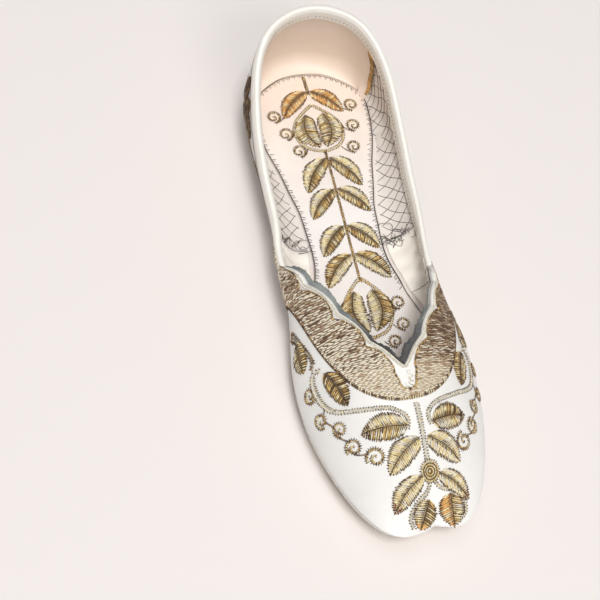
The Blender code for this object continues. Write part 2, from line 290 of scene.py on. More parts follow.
def psi_at(x, y):
    """psi of the point at plan x, y, between the fans and above the widest line."""
    o = outline(q_at_y(y))
    return np.arccos(np.clip(np.asarray(x, float) / o[..., 0], 0, 1) ** (1 / side_round(o[..., 1])))


def on_last(x, y):
    """Points and normals of the last at plan x, y."""
    psi, q = psi_at(x, y), q_at_y(y)
    return last_point(q, psi), last_normal(q, psi)


def spread(q0, q1, n, pace=None):
    """n+1 outline parameters from q0 to q1, evenly spaced or in proportion to pace(y)."""
    qs = np.linspace(q0, q1, 900)
    o = outline(qs)
    w = np.linalg.norm(np.diff(o, axis=0), axis=1)
    if pace is not None:
        w = w / pace((o[1:, 1] + o[:-1, 1]) / 2)
    c = np.concatenate([[0], np.cumsum(w)])
    return np.interp(np.linspace(0, c[-1], n + 1), c, qs)


# ---------------- mesh helpers
LEFT_CORNER, RIGHT_CORNER = (-3.5, 11.5, -2.0), (-3.0, 0.0, 0.0)  # how far the throat's corners move (mm)


def slouch(v):
    """The worn-in lean of the soft upper as photographed, the same for every piece.

    The left throat corner lies further out and back than the right one, the wall swells over the
    welt along the forefoot, and the toe's notch sits a little to the right.
    """
    x, y, z = v.T.copy()
    corner_x, corner_y, corner_z = np.where(x[:, None] < 0, LEFT_CORNER, RIGHT_CORNER).T
    near = np.exp(-((y + 11) / 26) ** 2) * ease((z - 16) / 11) * np.abs(x) / 34
    rise, ahead = z - foot_z(y), np.minimum(y + 85, 0)
    reach = np.hypot(x, ahead) + 1e-6
    swell = 0.7 * ease(rise / 3.5) * (1 - ease((rise - 8) / 12)) * ease((-y - 20) / 30) * ease(reach / 25)
    lobe = np.exp(-(x * x + (y + 122) ** 2) / 14 ** 2)
    notch = np.exp(-(x / 6) ** 2 - ((y + 122) / 7) ** 2)
    x += near * corner_x + swell * x / reach + 2.0 * lobe
    y += near * corner_y + swell * ahead / reach - 0.8 * notch
    z += near * corner_z
    return np.stack([x, y, z], -1)


def mesh_object(name, verts, faces, mats, index=None, flat=False):
    """A mesh piece from millimetre vertices and an (n, 4) face array, riding the shoe."""
    verts = slouch(np.asarray(verts, np.float32).reshape(-1, 3)) * MM
    faces = np.asarray(faces, np.int32)
    me = bpy.data.meshes.new(name)
    me.vertices.add(len(verts))
    me.vertices.foreach_set("co", verts.ravel())
    me.loops.add(faces.size)
    me.loops.foreach_set("vertex_index", faces.ravel())
    me.polygons.add(len(faces))
    me.polygons.foreach_set("loop_start", np.arange(0, faces.size, 4, dtype=np.int32))
    me.update(calc_edges=True)
    for m in mats if isinstance(mats, list) else [mats]:
        me.materials.append(m)
    if index is not None:
        me.polygons.foreach_set("material_index", np.asarray(index, np.int32))
    me.polygons.foreach_set("use_smooth", np.full(len(faces), not flat))
    me.update()
    ob = bpy.data.objects.new(name, me)
    bpy.context.scene.collection.objects.link(ob)
    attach(ob, "root")
    return ob


def grid(rows, cols, base=0, wrap=False):
    """Quads of a rows by cols grid of vertices."""
    r, c = np.meshgrid(np.arange(rows - 1), np.arange(cols if wrap else cols - 1), indexing="ij")
    here, right = r * cols + c, r * cols + (c + 1) % cols
    return np.stack([here, right, right + cols, here + cols], -1).reshape(-1, 4) + base


def thick(p, n, t):
    """Closed sheet: vertices and faces of a grid p (rows, cols, 3) thickened by t against normals n."""
    rows, cols = p.shape[:2]
    m = rows * cols
    i = np.arange(m).reshape(rows, cols)
    rim = np.concatenate([i[0, :], i[1:, -1], i[-1, -2::-1], i[-2:0:-1, 0]])
    nxt = np.roll(rim, -1)
    side = np.stack([nxt, rim, rim + m, nxt + m], -1)
    verts = np.concatenate([p.reshape(-1, 3), (p - n * t).reshape(-1, 3)])
    return verts, np.concatenate([grid(rows, cols), grid(rows, cols, m)[:, ::-1], side])


def face_outward(ob):
    """Closed mesh, welded, with its faces turned outward."""
    bm = bmesh.new()
    bm.from_mesh(ob.data)
    bmesh.ops.remove_doubles(bm, verts=bm.verts[:], dist=2e-6)
    bmesh.ops.dissolve_degenerate(bm, edges=bm.edges[:], dist=1e-7)
    bmesh.ops.recalc_face_normals(bm, faces=bm.faces[:])
    if bm.calc_volume(signed=True) < 0:
        bmesh.ops.reverse_faces(bm, faces=bm.faces[:])
    bm.to_mesh(ob.data)
    bm.free()
    ob.data.update()
    return ob


def sheet(name, p, n, t, mats, side):
    """A closed sheet from a right half grid, put on one side of the shoe and named for it."""
    verts, faces = thick(on_side(side, p), on_side(side, n), t)
    face_outward(mesh_object(f"{name}_{SIDES[side]}", verts, faces, mats))


def tree_of(p, wrap=False):
    """Ray-cast tree of a grid of points (rows, cols, 3)."""
    faces = grid(*p.shape[:2], 0, wrap).tolist()
    return BVHTree.FromPolygons([tuple(v) for v in p.reshape(-1, 3)], [tuple(f) for f in faces])


# ---------------- threads
class Ground:
    """A flat working plane in front of a surface: (u, v) in mm are dropped onto it along -n."""

    BEHIND = 60  # how far past the plane, beyond the reach, a ray may still find the surface

    def __init__(self, tree, centre, u=(1, 0, 0), n=(0, 0, 1), reach=20.0):
        self.tree, self.reach, self.centre = tree, reach, np.array(centre, float)
        u, self.n = np.array(u, float), unit(np.array(n, float))
        self.u = unit(u - self.n * np.dot(u, self.n))
        self.v = np.cross(self.n, self.u)

    def at(self, uv):
        """Points and normals on the surface, NaN where there is none."""
        uv = np.asarray(uv, float)
        start = self.centre + uv[:, :1] * self.u + uv[:, 1:] * self.v + self.n * self.reach
        way = Vector(-self.n)
        p, n = np.full((len(uv), 3), np.nan), np.zeros((len(uv), 3))
        for i, s in enumerate(start):
            loc, nor, _, dist = self.tree.ray_cast(Vector(s), way)
            if loc is not None and dist < 2 * self.reach + self.BEHIND:
                p[i], n[i] = loc, nor
        return p, np.where((n @ self.n)[:, None] < 0, -n, n)

    def flat(self, p):
        d = np.asarray(p, float) - self.centre
        return np.stack([d @ self.u, d @ self.v], -1)


class Yarn:
    """Collects threads and builds them as one mesh."""

    def __init__(self, name, mats, slot="upper_leather"):
        self.name, self.mats, self.slot = name, mats, slot
        self.v, self.f, self.m, self.count = [], [], [], 0

    def add(self, p, n, width, height, mat, ends=0.45):
        """p, n: (threads, points, 3). Width across the surface and height off it are for each or for all."""
        if not len(p):
            return
        num, k = p.shape[:2]
        t = unit(np.gradient(p, axis=1))
        side = unit(np.cross(t, n))
        up = np.cross(side, t)
        taper = np.ones(k)
        taper[0] = taper[-1] = ends
        a = np.array([0.0, 0.5, 1.0, 1.5]) * math.pi
        ring = p[:, :, None]
        for way, turn, size in ((side, np.cos(a), width), (up, np.sin(a), height)):
            half = np.broadcast_to(np.asarray(size, float).reshape(-1, 1), (num, k)) / 2 * taper
            ring = ring + way[:, :, None] * (turn[:, None] * half[:, :, None, None])
        one = np.concatenate([grid(k, 4, 0, True), [[3, 2, 1, 0]], 4 * k + np.array([[-4, -3, -2, -1]])])
        self.f.append((one[None] + (np.arange(num) * 4 * k)[:, None, None] + self.count).reshape(-1, 4))
        self.m.append(np.repeat(np.broadcast_to(np.asarray(mat), (num,)), len(one)))
        self.v.append(ring.reshape(-1, 3))
        self.count += num * k * 4

    def both(self, p, n, width, height, mats):
        """The same threads on both sides of the shoe."""
        self.add(p, n, width, height, mats)
        self.add(mirrored(p), mirrored(n), width, height, mats)

    def cord(self, p, n, width, mat, height=None):
        """One long thread through 3-D points."""
        self.add(p[None], n[None], width, height or width, mat, 0.7)

    def build(self):
        v, f, m = np.concatenate(self.v), np.concatenate(self.f)[:, ::-1], np.concatenate(self.m)
        return mesh_object(self.name, v, f, self.mats, m)


def pick(shades, num):
    """Random material indices from {index: weight}."""
    keys, w = np.array(list(shades)), np.array(list(shades.values()), float)
    return RNG.choice(keys, num, p=w / w.sum())


def lay(yarn, ground, a, b, width, lift, shades, points=4, sink=0.08, height=None):
    """Straight stitches from a to b (each (n, 2) on the ground), arched off the surface by lift.

    shades is one material, or {material: weight}; sink is how deep the ends go in.
    """
    t = np.linspace(0, 1, points)
    p, n = ground.at(between(a, b, points)[0].reshape(-1, 2))
    p, n = p.reshape(-1, points, 3), n.reshape(-1, points, 3)
    good = ~np.isnan(p).any(axis=(1, 2))
    arch = (lift + sink) * hump(t, 0.02) ** 0.55 - sink
    mats = pick(shades, len(a)) if isinstance(shades, dict) else np.full(len(a), shades)
    yarn.add((p + n * arch[:, None])[good], n[good], width, height or width * 0.8, mats[good])


def resample(path, gap):
    """Points every gap mm along a polyline, with unit tangents."""
    path = np.asarray(path, float)
    s = arc(path)
    p = rows_at(np.linspace(0, s[-1], max(int(s[-1] / gap), 2) + 1), s, path)
    return p, unit(np.gradient(p, axis=0))


def curve(rows):
    """A smooth path through given points, about every 0.4 mm."""
    return spline(rows)(np.linspace(0, 1, max(int(arc(np.array(rows, float))[-1] / 0.4), 8)))


def satin(yarn, ground, path, width, shades, gap, slant, thread, lift, fray=0.15, pair=False):
    """Close stitches across a path; width is in mm or a function of the share of the way along it.

    pair makes two rows that meet on the path.
    """
    p, t = resample(path, gap)
    w = np.broadcast_to(width(np.linspace(0, 1, len(p))) if callable(width) else width, len(p))[:, None] / 2
    w, lean = -right_of(t) * w * (1 + fray * RNG.random((len(p), 1))), t * slant
    if pair:
        for side in SIDES:
            lay(yarn, ground, p - lean, p + side * w + lean, thread, lift, shades, 3)
    else:
        lay(yarn, ground, p - w - lean, p + w + lean, thread, lift, shades)


def ticks(yarn, ground, path, side, inner, outer, shades, gap, slant, thread, lift):
    """Short dark stitch ends standing out of one side of a path."""
    p, t = resample(path, gap)
    n = -right_of(t) * side
    j = RNG.random((len(p), 1)) * 0.5 + 0.7
    lay(yarn, ground, p - n * inner, p + n * outer * j + t * slant, thread, lift, shades, 3)


# ---------------- materials
class Shader:
    """A Principled material with noise-driven colour, roughness and bump in object space."""

    def __init__(self, name, rough, **sockets):
        self.mat = bpy.data.materials.new(name)
        self.mat.use_nodes = True
        self.tree = self.mat.node_tree
        self.bsdf = self.tree.nodes["Principled BSDF"]
        self.put(self.bsdf, Roughness=rough, Coat_Roughness=0.25, **sockets)
        self.coord = self.node("ShaderNodeTexCoord", "Object")

    def plug(self, socket, value):
        if isinstance(value, bpy.types.NodeSocket):
            self.tree.links.new(value, socket)
        else:
            socket.default_value = value

    def put(self, node, **values):
        """Sets or links sockets by name, with _ for each space."""
        for name, value in values.items():
            self.plug(node.inputs[name.replace("_", " ")], value)

    def node(self, kind, out, **values):
        """The output called out of a new node."""
        n = self.tree.nodes.new(kind)
        self.put(n, **values)
        return n.outputs[out]

    def noise(self, scale, detail=3.0, rough=0.55, place=None):
        return self.node("ShaderNodeTexNoise", "Fac", Vector=place or self.coord, Scale=scale,
                         Detail=detail, Roughness=rough)

    def cells(self, scale):
        return self.node("ShaderNodeTexVoronoi", "Distance", Vector=self.coord, Scale=scale)

    def ramp(self, value, low, high, dark, light):
        """Colour from dark, where value is low, to light, where it is high. Colours are 0 to 255."""
        out = self.node("ShaderNodeValToRGB", "Color", Fac=value)
        for stop, at, colour in zip(out.node.color_ramp.elements, (low, high), (dark, light)):
            stop.position, stop.color = at, srgb(*colour)
        return out

    def fit(self, value, a, b, c, d):
        """Value mapped from a..b to c..d and kept within it."""
        return self.node("ShaderNodeMapRange", "Result", Value=value, From_Min=a, From_Max=b,
                         To_Min=c, To_Max=d)

    def patches(self, scale, detail, low, high):
        """Uneven values from low to high."""
        return self.fit(self.noise(scale, detail), 0.3, 0.7, low, high)

    def along_y(self, a, b):
        """0 to 1 as y in metres goes from a to b."""
        return self.fit(self.node("ShaderNodeSeparateXYZ", "Y", Vector=self.coord), a, b, 0.0, 1.0)

    def blend(self, fac, a, b):
        """Colour a, giving way to colour b as fac goes from 0 to 1."""
        mix = self.tree.nodes.new("ShaderNodeMix")
        mix.data_type = "RGBA"
        for socket, value in ((0, fac), (6, a), (7, b)):
            self.plug(mix.inputs[socket], value)
        return mix.outputs[2]

    def done(self, colour, rough, *bumps):
        """The material joined up, with bumps as (output, distance in mm) pairs, stacked."""
        normal = {}
        for out, mm in bumps:
            normal = {"Normal": self.node("ShaderNodeBump", "Normal", Height=out, Strength=1.0,
                                          Distance=mm * MM, **normal)}
        self.put(self.bsdf, Base_Color=colour, Roughness=rough, **normal)
        return self.mat


def srgb(r, g, b, shade=1.0):
    """Linear colour with alpha from 0 to 255, darkened by shade."""
    return (*(((c / 255 + 0.055) / 1.055) ** 2.4 * shade for c in (r, g, b)), 1.0)


def leather(name, light, dark, rough=0.42, coat=0.12, grain=0.05):
    """Smooth fine-grained leather, a little uneven in tone, with faint rubbed marks."""
    s = Shader(name, rough, Coat_Weight=coat)
    tone = s.ramp(s.noise(34, 4, 0.6), 0.3, 0.72, dark, light)
    drawn = s.node("ShaderNodeMapping", "Vector", Vector=s.coord, Scale=(1, 0.35, 1))
    marks = s.fit(s.noise(210, 6, 0.7, drawn), 0.66, 0.8, 0.0, 0.35)
    polish = s.patches(90, 4, rough - 0.06, rough + 0.1)
    return s.done(s.blend(marks, tone, srgb(*dark, 0.72)), polish, (s.cells(1500), grain),
                  (s.noise(420, 5), grain * 0.8), (s.noise(38, 3), 0.25))


def thread(name, light, dark, rough, metal=0.0):
    """Twisted embroidery thread: tone changes along it, with a fine ply bump."""
    s = Shader(name, rough, Metallic=metal, Sheen_Weight=0.15)
    return s.done(s.ramp(s.noise(900, 3, 0.7), 0.36, 0.62, dark, light),
                  s.patches(1530, 2, rough - 0.1, rough + 0.12), (s.noise(3600, 2, 0.6), 0.12))


def sock_leather():
    """Pinkish white, warmer towards the heel, with a soft nap."""
    s = Shader("sock leather", 0.5, Coat_Weight=0.06)
    cool = s.ramp(s.noise(40, 4), 0.3, 0.7, (236, 228, 224), (246, 241, 237))
    warm = s.ramp(s.noise(40, 4), 0.3, 0.7, (240, 222, 208), (250, 235, 222))
    return s.done(s.blend(s.along_y(0.03, 0.1), cool, warm), s.patches(120, 4, 0.44, 0.6),
                  (s.cells(1500), 0.05), (s.noise(30, 2), 0.5))


def sole_rubber(name, dark, light):
    """Cream moulded rubber, slightly see-through, glossy."""
    s = Shader(name, 0.26, Coat_Weight=0.35, Subsurface_Weight=0.25, Subsurface_Radius=(0.006, 0.0045, 0.003),
               Subsurface_Scale=0.6)
    gloss = s.fit(s.noise(160, 4), 0.3, 0.75, 0.2, 0.4)
    return s.done(s.ramp(s.noise(22, 4, 0.6), 0.3, 0.7, dark, light), gloss,
                  (s.noise(260, 4), 0.06), (s.noise(45, 2), 0.3))


def felt_with_painted_shade():
    """Raw felt, blue-grey along the sides and charcoal towards the point of the V; the grey partly stands in
    for the shade under the throat edge, and the charcoal is painted shade.
    """
    s = Shader("interlining", 0.85)
    pale = s.ramp(s.noise(160, 4), 0.35, 0.65, (118, 124, 124), (154, 159, 157))
    deep = s.ramp(s.noise(160, 4), 0.35, 0.65, (66, 66, 66), (98, 98, 98))
    return s.done(s.blend(s.along_y(-0.034, -0.044), pale, deep), s.patches(300, 3, 0.75, 0.95),
                  (s.noise(700, 4), 0.1))


WHITE = leather("white leather", (246, 244, 241), (236, 234, 231))
LINING = leather("lining leather", (243, 236, 230), (232, 222, 215), 0.5, 0.05)
HEEL_LINING = leather("heel patch leather", (251, 236, 222), (245, 227, 211), 0.48, 0.08)
ROLL = leather("binding leather", (255, 252, 246), (250, 245, 236), 0.4, 0.12, 0.07)
FACING = leather("front facing leather", (255, 250, 242), (250, 242, 232), 0.5, 0.05)
STRIP = leather("welt strip leather", (240, 236, 230), (222, 216, 208), 0.55, 0.0)
SOCK = sock_leather()
# grey felt that is partly painted shade, turning charcoal towards the V
INTERLINING_WITH_SHADE = felt_with_painted_shade()
RUBBER = sole_rubber("sole rubber", (226, 211, 188), (237, 225, 205))
RUBBER_SIDE = sole_rubber("sole rubber side", (238, 234, 227), (244, 241, 236))
ROLL_THREAD = thread("binding thread", (206, 194, 178), (170, 156, 140), 0.6)
DARK = thread("dark thread", (74, 60, 52), (38, 28, 24), 0.6)
PALE, MID, DEEP, BROWN, AMBER, CREAM, SAGE, RUST = range(8)
GOLD = [
    thread("gold thread, pale", (255, 248, 214), (236, 214, 158), 0.34, 0.05),
    thread("gold thread", (242, 212, 142), (206, 166, 96), 0.36, 0.05),
    thread("gold thread, deep", (188, 150, 90), (130, 98, 54), 0.4, 0.15),
    thread("brown thread", (112, 80, 46), (58, 38, 22), 0.5, 0.1),
    thread("amber thread", (246, 200, 126), (216, 156, 84), 0.4, 0.05),
    thread("cream thread", (250, 246, 234), (222, 214, 194), 0.5),
    thread("sage cord thread", (214, 212, 192), (160, 154, 128), 0.5, 0.1),
    thread("rust thread", (150, 86, 52), (98, 50, 32), 0.45, 0.1),
]
BAND = [
    thread("band thread, light", (255, 248, 230), (236, 220, 192), 0.4, 0.05),
    thread("band thread", (214, 190, 160), (166, 138, 108), 0.42, 0.1),
    thread("band thread, dark", (136, 106, 76), (92, 66, 44), 0.46, 0.2),
    thread("band backing", (146, 118, 90), (104, 80, 58), 0.6),
]

# ---------------- soles
SOLE_COLS = spread(0.0, 1.0, 150, lambda y: 2.0 + 3.0 * (np.abs(y) < 95))
RIM, FIELD_DROP, FIELDS = 5.5, 0.7, ((-113.0, -20.0), (66.0, 112.0))
WELT_EDGE = -MIDSOLE_REVEAL
SIDE_FROM_RING = 11


def layer(name, rings, mats, change=None):
    """A sole-shaped body, with the second of mats from ring change on.

    rings: (inset from the featherline, share of the way out from the centre line, level, mm above it)
    """
    rows = []
    for inset, share, level, above in rings:
        p = feather(SOLE_COLS, inset)
        ys = fan_centre(outline(SOLE_COLS)[:, 1])
        x, y = p[:, 0] * share, ys + (p[:, 1] - ys) * share
        rows.append(np.stack([x, y, level(y) + above], -1))
    v = whole(np.array(rows))
    index = None if change is None else np.repeat(np.arange(len(rows) - 1) >= change, v.shape[1])
    return face_outward(mesh_object(name, v, grid(*v.shape[:2], 0, True), mats, index))


def face(inset, level, shares):
    """Rings across one face of a sole body."""
    return [(inset, share, level, 0.0) for share in shares]


def rounded_edge(edge, r, low, high, steps=5):
    """Rings round a convex edge: out and up from the underside, then in and over to the top."""
    turn = [math.pi / 2 * i / steps for i in range(steps + 1)]
    up = [(edge + r * (1 - math.sin(a)), 1.0, low, r * (1 - math.cos(a))) for a in turn]
    return up + [(edge + 0.6 * (1 - math.cos(a)), 1.0, high, -0.6 * (1 - math.sin(a))) for a in turn]


def sole_top(y):
    return foot_z(y) - MIDSOLE_T - 2 * GAP


def mid_low(y):
    return foot_z(y) - MIDSOLE_T - GAP


def mid_top(y):
    return foot_z(y) - GAP + 0.25


def under(y):
    """Underside of the outsole inside its smooth rim: shallow fields where the tread diamonds stand."""
    inside = sum(1 / (1 + np.exp(-(y - a) / 1.2)) - 1 / (1 + np.exp(-(y - b) / 1.2)) for a, b in FIELDS)
    return sole_z(y) + FIELD_DROP * inside


def tread():
    """Low four-sided studs on a staggered grid, standing in the two fields."""
    pitch_x, pitch_y, half_x, half_y, narrow, foot = 4.7, 5.6, 1.25, 1.6, 0.35, 0.15
    corners = np.array([(half_x, 0), (0, half_y), (-half_x, 0), (0, -half_y)])
    stud = np.concatenate([grid(2, 4, 0, True), [[4, 5, 6, 7], [3, 2, 1, 0]]])
    rim = feather(SOLE_COLS, RIM + 2.0)
    verts, faces = [], []
    for j in range(-45, 46):
        y = j * pitch_y / 2
        if not any(a + 3 < y < b - 3 for a, b in FIELDS):
            continue
        limit = np.interp(y, rim[:, 1], rim[:, 0], 0.0, 0.0)
        for i in range(-9, 10):
            x = (i + 0.5 * (j % 2)) * pitch_x
            if abs(x) > limit:
                continue
            faces.append(stud + len(verts))
            for share, z in ((1, under(y) + foot), (narrow, sole_z(y))):
                verts += [(x + dx, y + dy, z) for dx, dy in corners * share]
    faces = np.concatenate(faces)
    face_outward(mesh_object("tread_diamonds", verts, faces, RUBBER, flat=True))


rings = face(RIM, under, (0.0, 0.25, 0.5, 0.75, 0.94, 1.0)) + face(RIM - 1.0, sole_z, [1.0])
rings += face(2.0, sole_z, [1.0]) + rounded_edge(0.3 - SOLE_REVEAL, 2.4, sole_z, sole_top)
rings += face(0.0, sole_top, (0.8, 0.4, 0.0))
outsole = layer("rubber_outsole", rings, [RUBBER, RUBBER_SIDE], SIDE_FROM_RING)
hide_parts("outsole")
tread()
rings = face(0.0, mid_low, (0.0, 0.5)) + rounded_edge(WELT_EDGE, 0.4, mid_low, mid_top, 3)
welt = layer("welt_strip", rings + face(0.0, mid_top, (0.5, 0.0)), STRIP)
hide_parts("midsole")

# ---------------- upper
UPPER_COLS = np.concatenate([spread(0.0, Q_THROAT, 84), spread(Q_THROAT, Q_CORNER, 110)[1:],
                             spread(Q_CORNER, 1.0, 90)[1:]])
SHARES = np.concatenate([np.linspace(-1, 0, 10, endpoint=False), np.linspace(0, 1, 34)])


def upper_skin():
    """Points and normals of the outer face, right half, rows from the featherline to the top edge."""
    share = SHARES[:, None]
    psi = np.where(share < 0, share, share * top_psi(UPPER_COLS))
    p = last_point(UPPER_COLS, psi)
    p[:, [0, -1], 0] = 0
    return p, last_normal(UPPER_COLS, psi)


def upper_shell(skin, normals):
    """Outer leather with its lined inside as one lasted shell, a rounded throat edge on top."""
    rows = len(skin)
    inner = skin - normals * WALL
    inner[0] = np.concatenate([feather(UPPER_COLS, WALL), skin[0, :, 2:]], 1)
    inner[:, [0, -1], 0] = 0
    closed = UPPER_COLS <= Q_THROAT + 1e-9
    side = skin.copy()
    side[-1, closed, 0] = inner[-1, closed, 0] = 0
    full = whole(np.concatenate([side, inner[::-1]]))
    total = full.shape[1]
    faces = grid(2 * rows, total, 0, True)
    shut = np.concatenate([closed, closed[::-1][1:-1]])
    joining = faces[:, 0] // total == rows - 1
    faces = faces[~(joining & shut[faces[:, 0] % total] & shut[faces[:, 1] % total])]
    i = np.arange(total)
    j, last = (i + 1) % total, (2 * rows - 1) * total
    rim = np.stack([last + i, last + j, j, i], -1)
    inside = np.concatenate([faces[:, 0] >= rows * total, np.zeros(total, bool)])
    faces = np.concatenate([faces, rim])
    return face_outward(mesh_object("upper_shell", full, faces, [WHITE, LINING], inside))


SKIN, SKIN_N = upper_skin()
shell = upper_shell(SKIN, SKIN_N)
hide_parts("upper")
OUTSIDE = tree_of(whole(SKIN, False))

# ---------------- sock
SOCK_EDGE = [
    (0.0, 113.0), (9.5, 112.0), (15.0, 109.8), (23.0, 104.4), (28.2, 98.3), (29.8, 88.0), (29.2, 80.0),
    (26.8, 68.0), (24.2, 59.0), (21.0, 44.0), (19.0, 35.0), (18.2, 25.0), (17.6, 12.0), (18.7, 3.0),
    (21.2, -5.5), (22.8, -12.0), (26.8, -22.5), (31.0, -40.0), (32.2, -56.0), (30.6, -76.0), (24.0, -96.0),
    (12.0, -108.5), (0.0, -112.0),
]
sock_edge = spline(SOCK_EDGE, (60.0, 0.0), (-60.0, 0.0))
SOCK_U = np.linspace(0, 1, 190)
SOCK_CROWN, SOCK_ROUND, SOCK_DROP, SOCK_TOP, SOCK_LOW = 0.5, 1.6, 1.5, INSOLE_T - 0.25, 0.05
SPINE = (-92, 88)


def sock_point(u, inset):
    """Sock outline in plan moved inward by inset."""
    a, b = sock_edge(np.clip(u - 1e-3, 0, 1)), sock_edge(np.clip(u + 1e-3, 0, 1))
    p = sock_edge(u) + right_of(unit(b - a)) * inset
    p[..., 0] = np.where((u <= 0) | (u >= 1), 0.0, p[..., 0])
    return p


def padded_sock():
    """Crowned sock with a rolled edge, down to the midsole; returns the tree of its upper face."""
    spine = np.stack([0 * SOCK_U, np.clip(sock_edge(SOCK_U)[:, 1], *SPINE)], -1)
    edge = sock_point(SOCK_U, SOCK_ROUND)
    rings = [(spine * (1 - f) + edge * f, SOCK_TOP + SOCK_CROWN * (1 - f * f))
             for f in np.linspace(0, 1, 16)[:-1]]
    rings += [(sock_point(SOCK_U, SOCK_ROUND * (1 - math.sin(a))), SOCK_TOP - SOCK_DROP * (1 - math.cos(a)))
              for a in np.linspace(0, math.pi / 2, 6)]
    rings += [(rings[-1][0], SOCK_LOW), (rings[-1][0] * np.array([0, 1]), SOCK_LOW)]
    full = whole(np.array([np.concatenate([p, (foot_z(p[:, 1]) + rise)[:, None]], 1) for p, rise in rings]))
    sock = face_outward(mesh_object("padded_sock", full, grid(*full.shape[:2], 0, True), SOCK))
    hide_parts("insole")
    return tree_of(full[:-1], True)


SOCK_TREE = padded_sock()

# ---------------- quarter linings and heel patch
LIN_COLS = np.concatenate([spread(float(q_at_y(-62.0)), Q_CORNER, 60), spread(Q_CORNER, 1.0, 110)[1:]])
LIN_Y = outline(LIN_COLS)[:, 1]
LINING_T, LINING_LOW = 0.3, -0.35
FILLET_END, WALL_PULL, SOCK_PULL = 1.15, 0.42, 0.34
PATCH_FRONT, PATCH_LIFT, PATCH_T = 100.0, 0.45, 0.4
LATTICE_FRONT = 16.0


def lining_grid(offset):
    """Inner face from the top edge down the wall, then in a soft fillet to the sock's edge."""
    share = np.linspace(1, 0, 26)[:, None]
    psi = LINING_LOW + (top_psi(LIN_COLS) - LINING_LOW) * share
    wall = last_point(LIN_COLS, psi) - last_normal(LIN_COLS, psi) * offset
    dense = sock_edge(np.linspace(0, 1, 1500))
    near = feather(LIN_COLS, WALL + 0.6)
    foot = dense[np.argmin(((dense - near[:, None]) ** 2).sum(-1), 1)]
    foot[-1, 0] = 0
    end = np.concatenate([foot, (foot_z(foot[:, 1]) + FILLET_END)[:, None]], 1)
    reach = np.linalg.norm(end - wall[-1], axis=1)[:, None]
    c1 = wall[-1] + unit(wall[-1] - wall[-2]) * reach * WALL_PULL
    away = np.concatenate([feather(LIN_COLS, WALL) - foot, 0 * foot[:, :1]], 1)
    c2 = end + unit(away + 1e-6) * reach * SOCK_PULL + np.array([0, 0, 0.15])
    t = np.linspace(0, 1, 13)[1:, None, None]
    fillet = wall[-1] * (1 - t) ** 3 + 3 * c1 * t * (1 - t) ** 2 + 3 * c2 * t * t * (1 - t) + end * t ** 3
    p = np.concatenate([wall, fillet])
    p[:, -1, 0] = 0
    n = unit(np.cross(np.gradient(p, axis=1), np.gradient(p, axis=0)))
    n[:, -1, 0] = 0
    n = unit(n)
    return p + n * LINING_T, n


LIN, LIN_N = lining_grid(WALL + 0.1)


def patch_start(down):
    """y of the heel patch's front edge, which slopes forward; down is 0 at the top and 1 at the sock."""
    return PATCH_FRONT - 2 - 4.0 * down ** 1.4


def heel_patch():
    """One peach piece round the inside of the heel."""
    rows, k = len(LIN), np.arange(len(LIN_COLS), dtype=float)
    p, n = [], []
    for r in range(rows):
        start = np.interp(patch_start(r / (rows - 1)), LIN_Y[:-20], k[:-20])
        at = np.linspace(start, len(LIN_COLS) - 1, 150)
        p.append(rows_at(at, k, LIN[r]))
        n.append(rows_at(at, k, LIN_N[r]))
    n = unit(np.array(n))
    verts, faces = thick(whole(np.array(p) + n * PATCH_LIFT, False), whole(n, False), PATCH_T)
    face_outward(mesh_object("heel_patch", verts, faces, HEEL_LINING))


quarter = (LIN_Y >= -62) & (LIN_Y <= PATCH_FRONT + 6)
for side in SIDES:
    sheet("quarter_lining", LIN[:, quarter], LIN_N[:, quarter], LINING_T, LINING, side)
heel_patch()


# ---------------- collar binding
SEAM_IN, SEAM_DOWN, SEAM_PITCH, SEAM_HALF = 2.42, 2.9, 2.0, 0.62


def binding_section():
    """(out from the edge's middle, up) of the binding round the edge, and which points swell."""
    outer_leg = [(1.15, -3.4), (1.6, -3.6), (1.8, -3.0), (1.86, -1.6)]
    crown = [(0.1 + (1.72 if a < 1.6 else 2.15) * math.cos(a), 0.1 + 1.75 * math.sin(a))
             for a in np.linspace(0, math.pi, 13)]
    inner_leg = [(-2.25, -1.2), (-2.45, -2.2), (-2.4, -2.9), (-2.7, -3.6), (-2.85, -5.0), (-2.5, -5.6),
                 (-1.45, -5.5)]
    over_edge = [(-1.4, -1.0), (-1.15, 0.35), (1.15, 0.35), (1.15, -1.5)]
    first, last = len(outer_leg) - 1, len(outer_leg) + len(crown)
    section = outer_leg + crown + inner_leg + over_edge
    return [(a, b, first <= i <= last) for i, (a, b) in enumerate(section)]


def binding():
    """A soft rolled strip of leather sewn over the quarter edge, a little full and uneven."""
    cols = spread(Q_CORNER + 1e-4, 1.0, 170)
    tops = top_psi(cols)
    edge, n = last_point(cols, tops), last_normal(cols, tops)
    u = unit(edge - last_point(cols, tops - 0.06))
    u = unit(u - n * (u * n).sum(-1, keepdims=True))
    mid = edge - n * WALL / 2
    s = arc(edge)
    swell = 1 + 0.025 * np.sin(s / 3.1 + 0.8 * np.sin(s / 7.3)) + 0.02 * np.sin(s / 1.9)
    taper = 0.42 + 0.58 * ease(s / 38)
    rows = []
    for a, b, swells in binding_section():
        full = swell if swells else 1.0
        out, up = a * full * np.maximum(taper ** 0.5, 1.3 / abs(a)), b * full * taper
        rows.append(mid + n * out[:, None] + u * up[:, None])
    half = np.array(rows)
    half[:, -1, 0] = 0
    full = whole(half, False).transpose(1, 0, 2)
    stations, ring = full.shape[:2]
    cap = np.array([(k - 1, k, ring - 1 - k, ring - k) for k in range(1, ring // 2)])
    faces = np.concatenate([grid(stations, ring, 0, True), cap, (stations - 1) * ring + cap[:, ::-1]])
    ob = face_outward(mesh_object("rolled_binding", full, faces, ROLL))
    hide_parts("collar_binding")
    return mid - n * (SEAM_IN * taper ** 0.5)[:, None] - u * (SEAM_DOWN * taper)[:, None], n


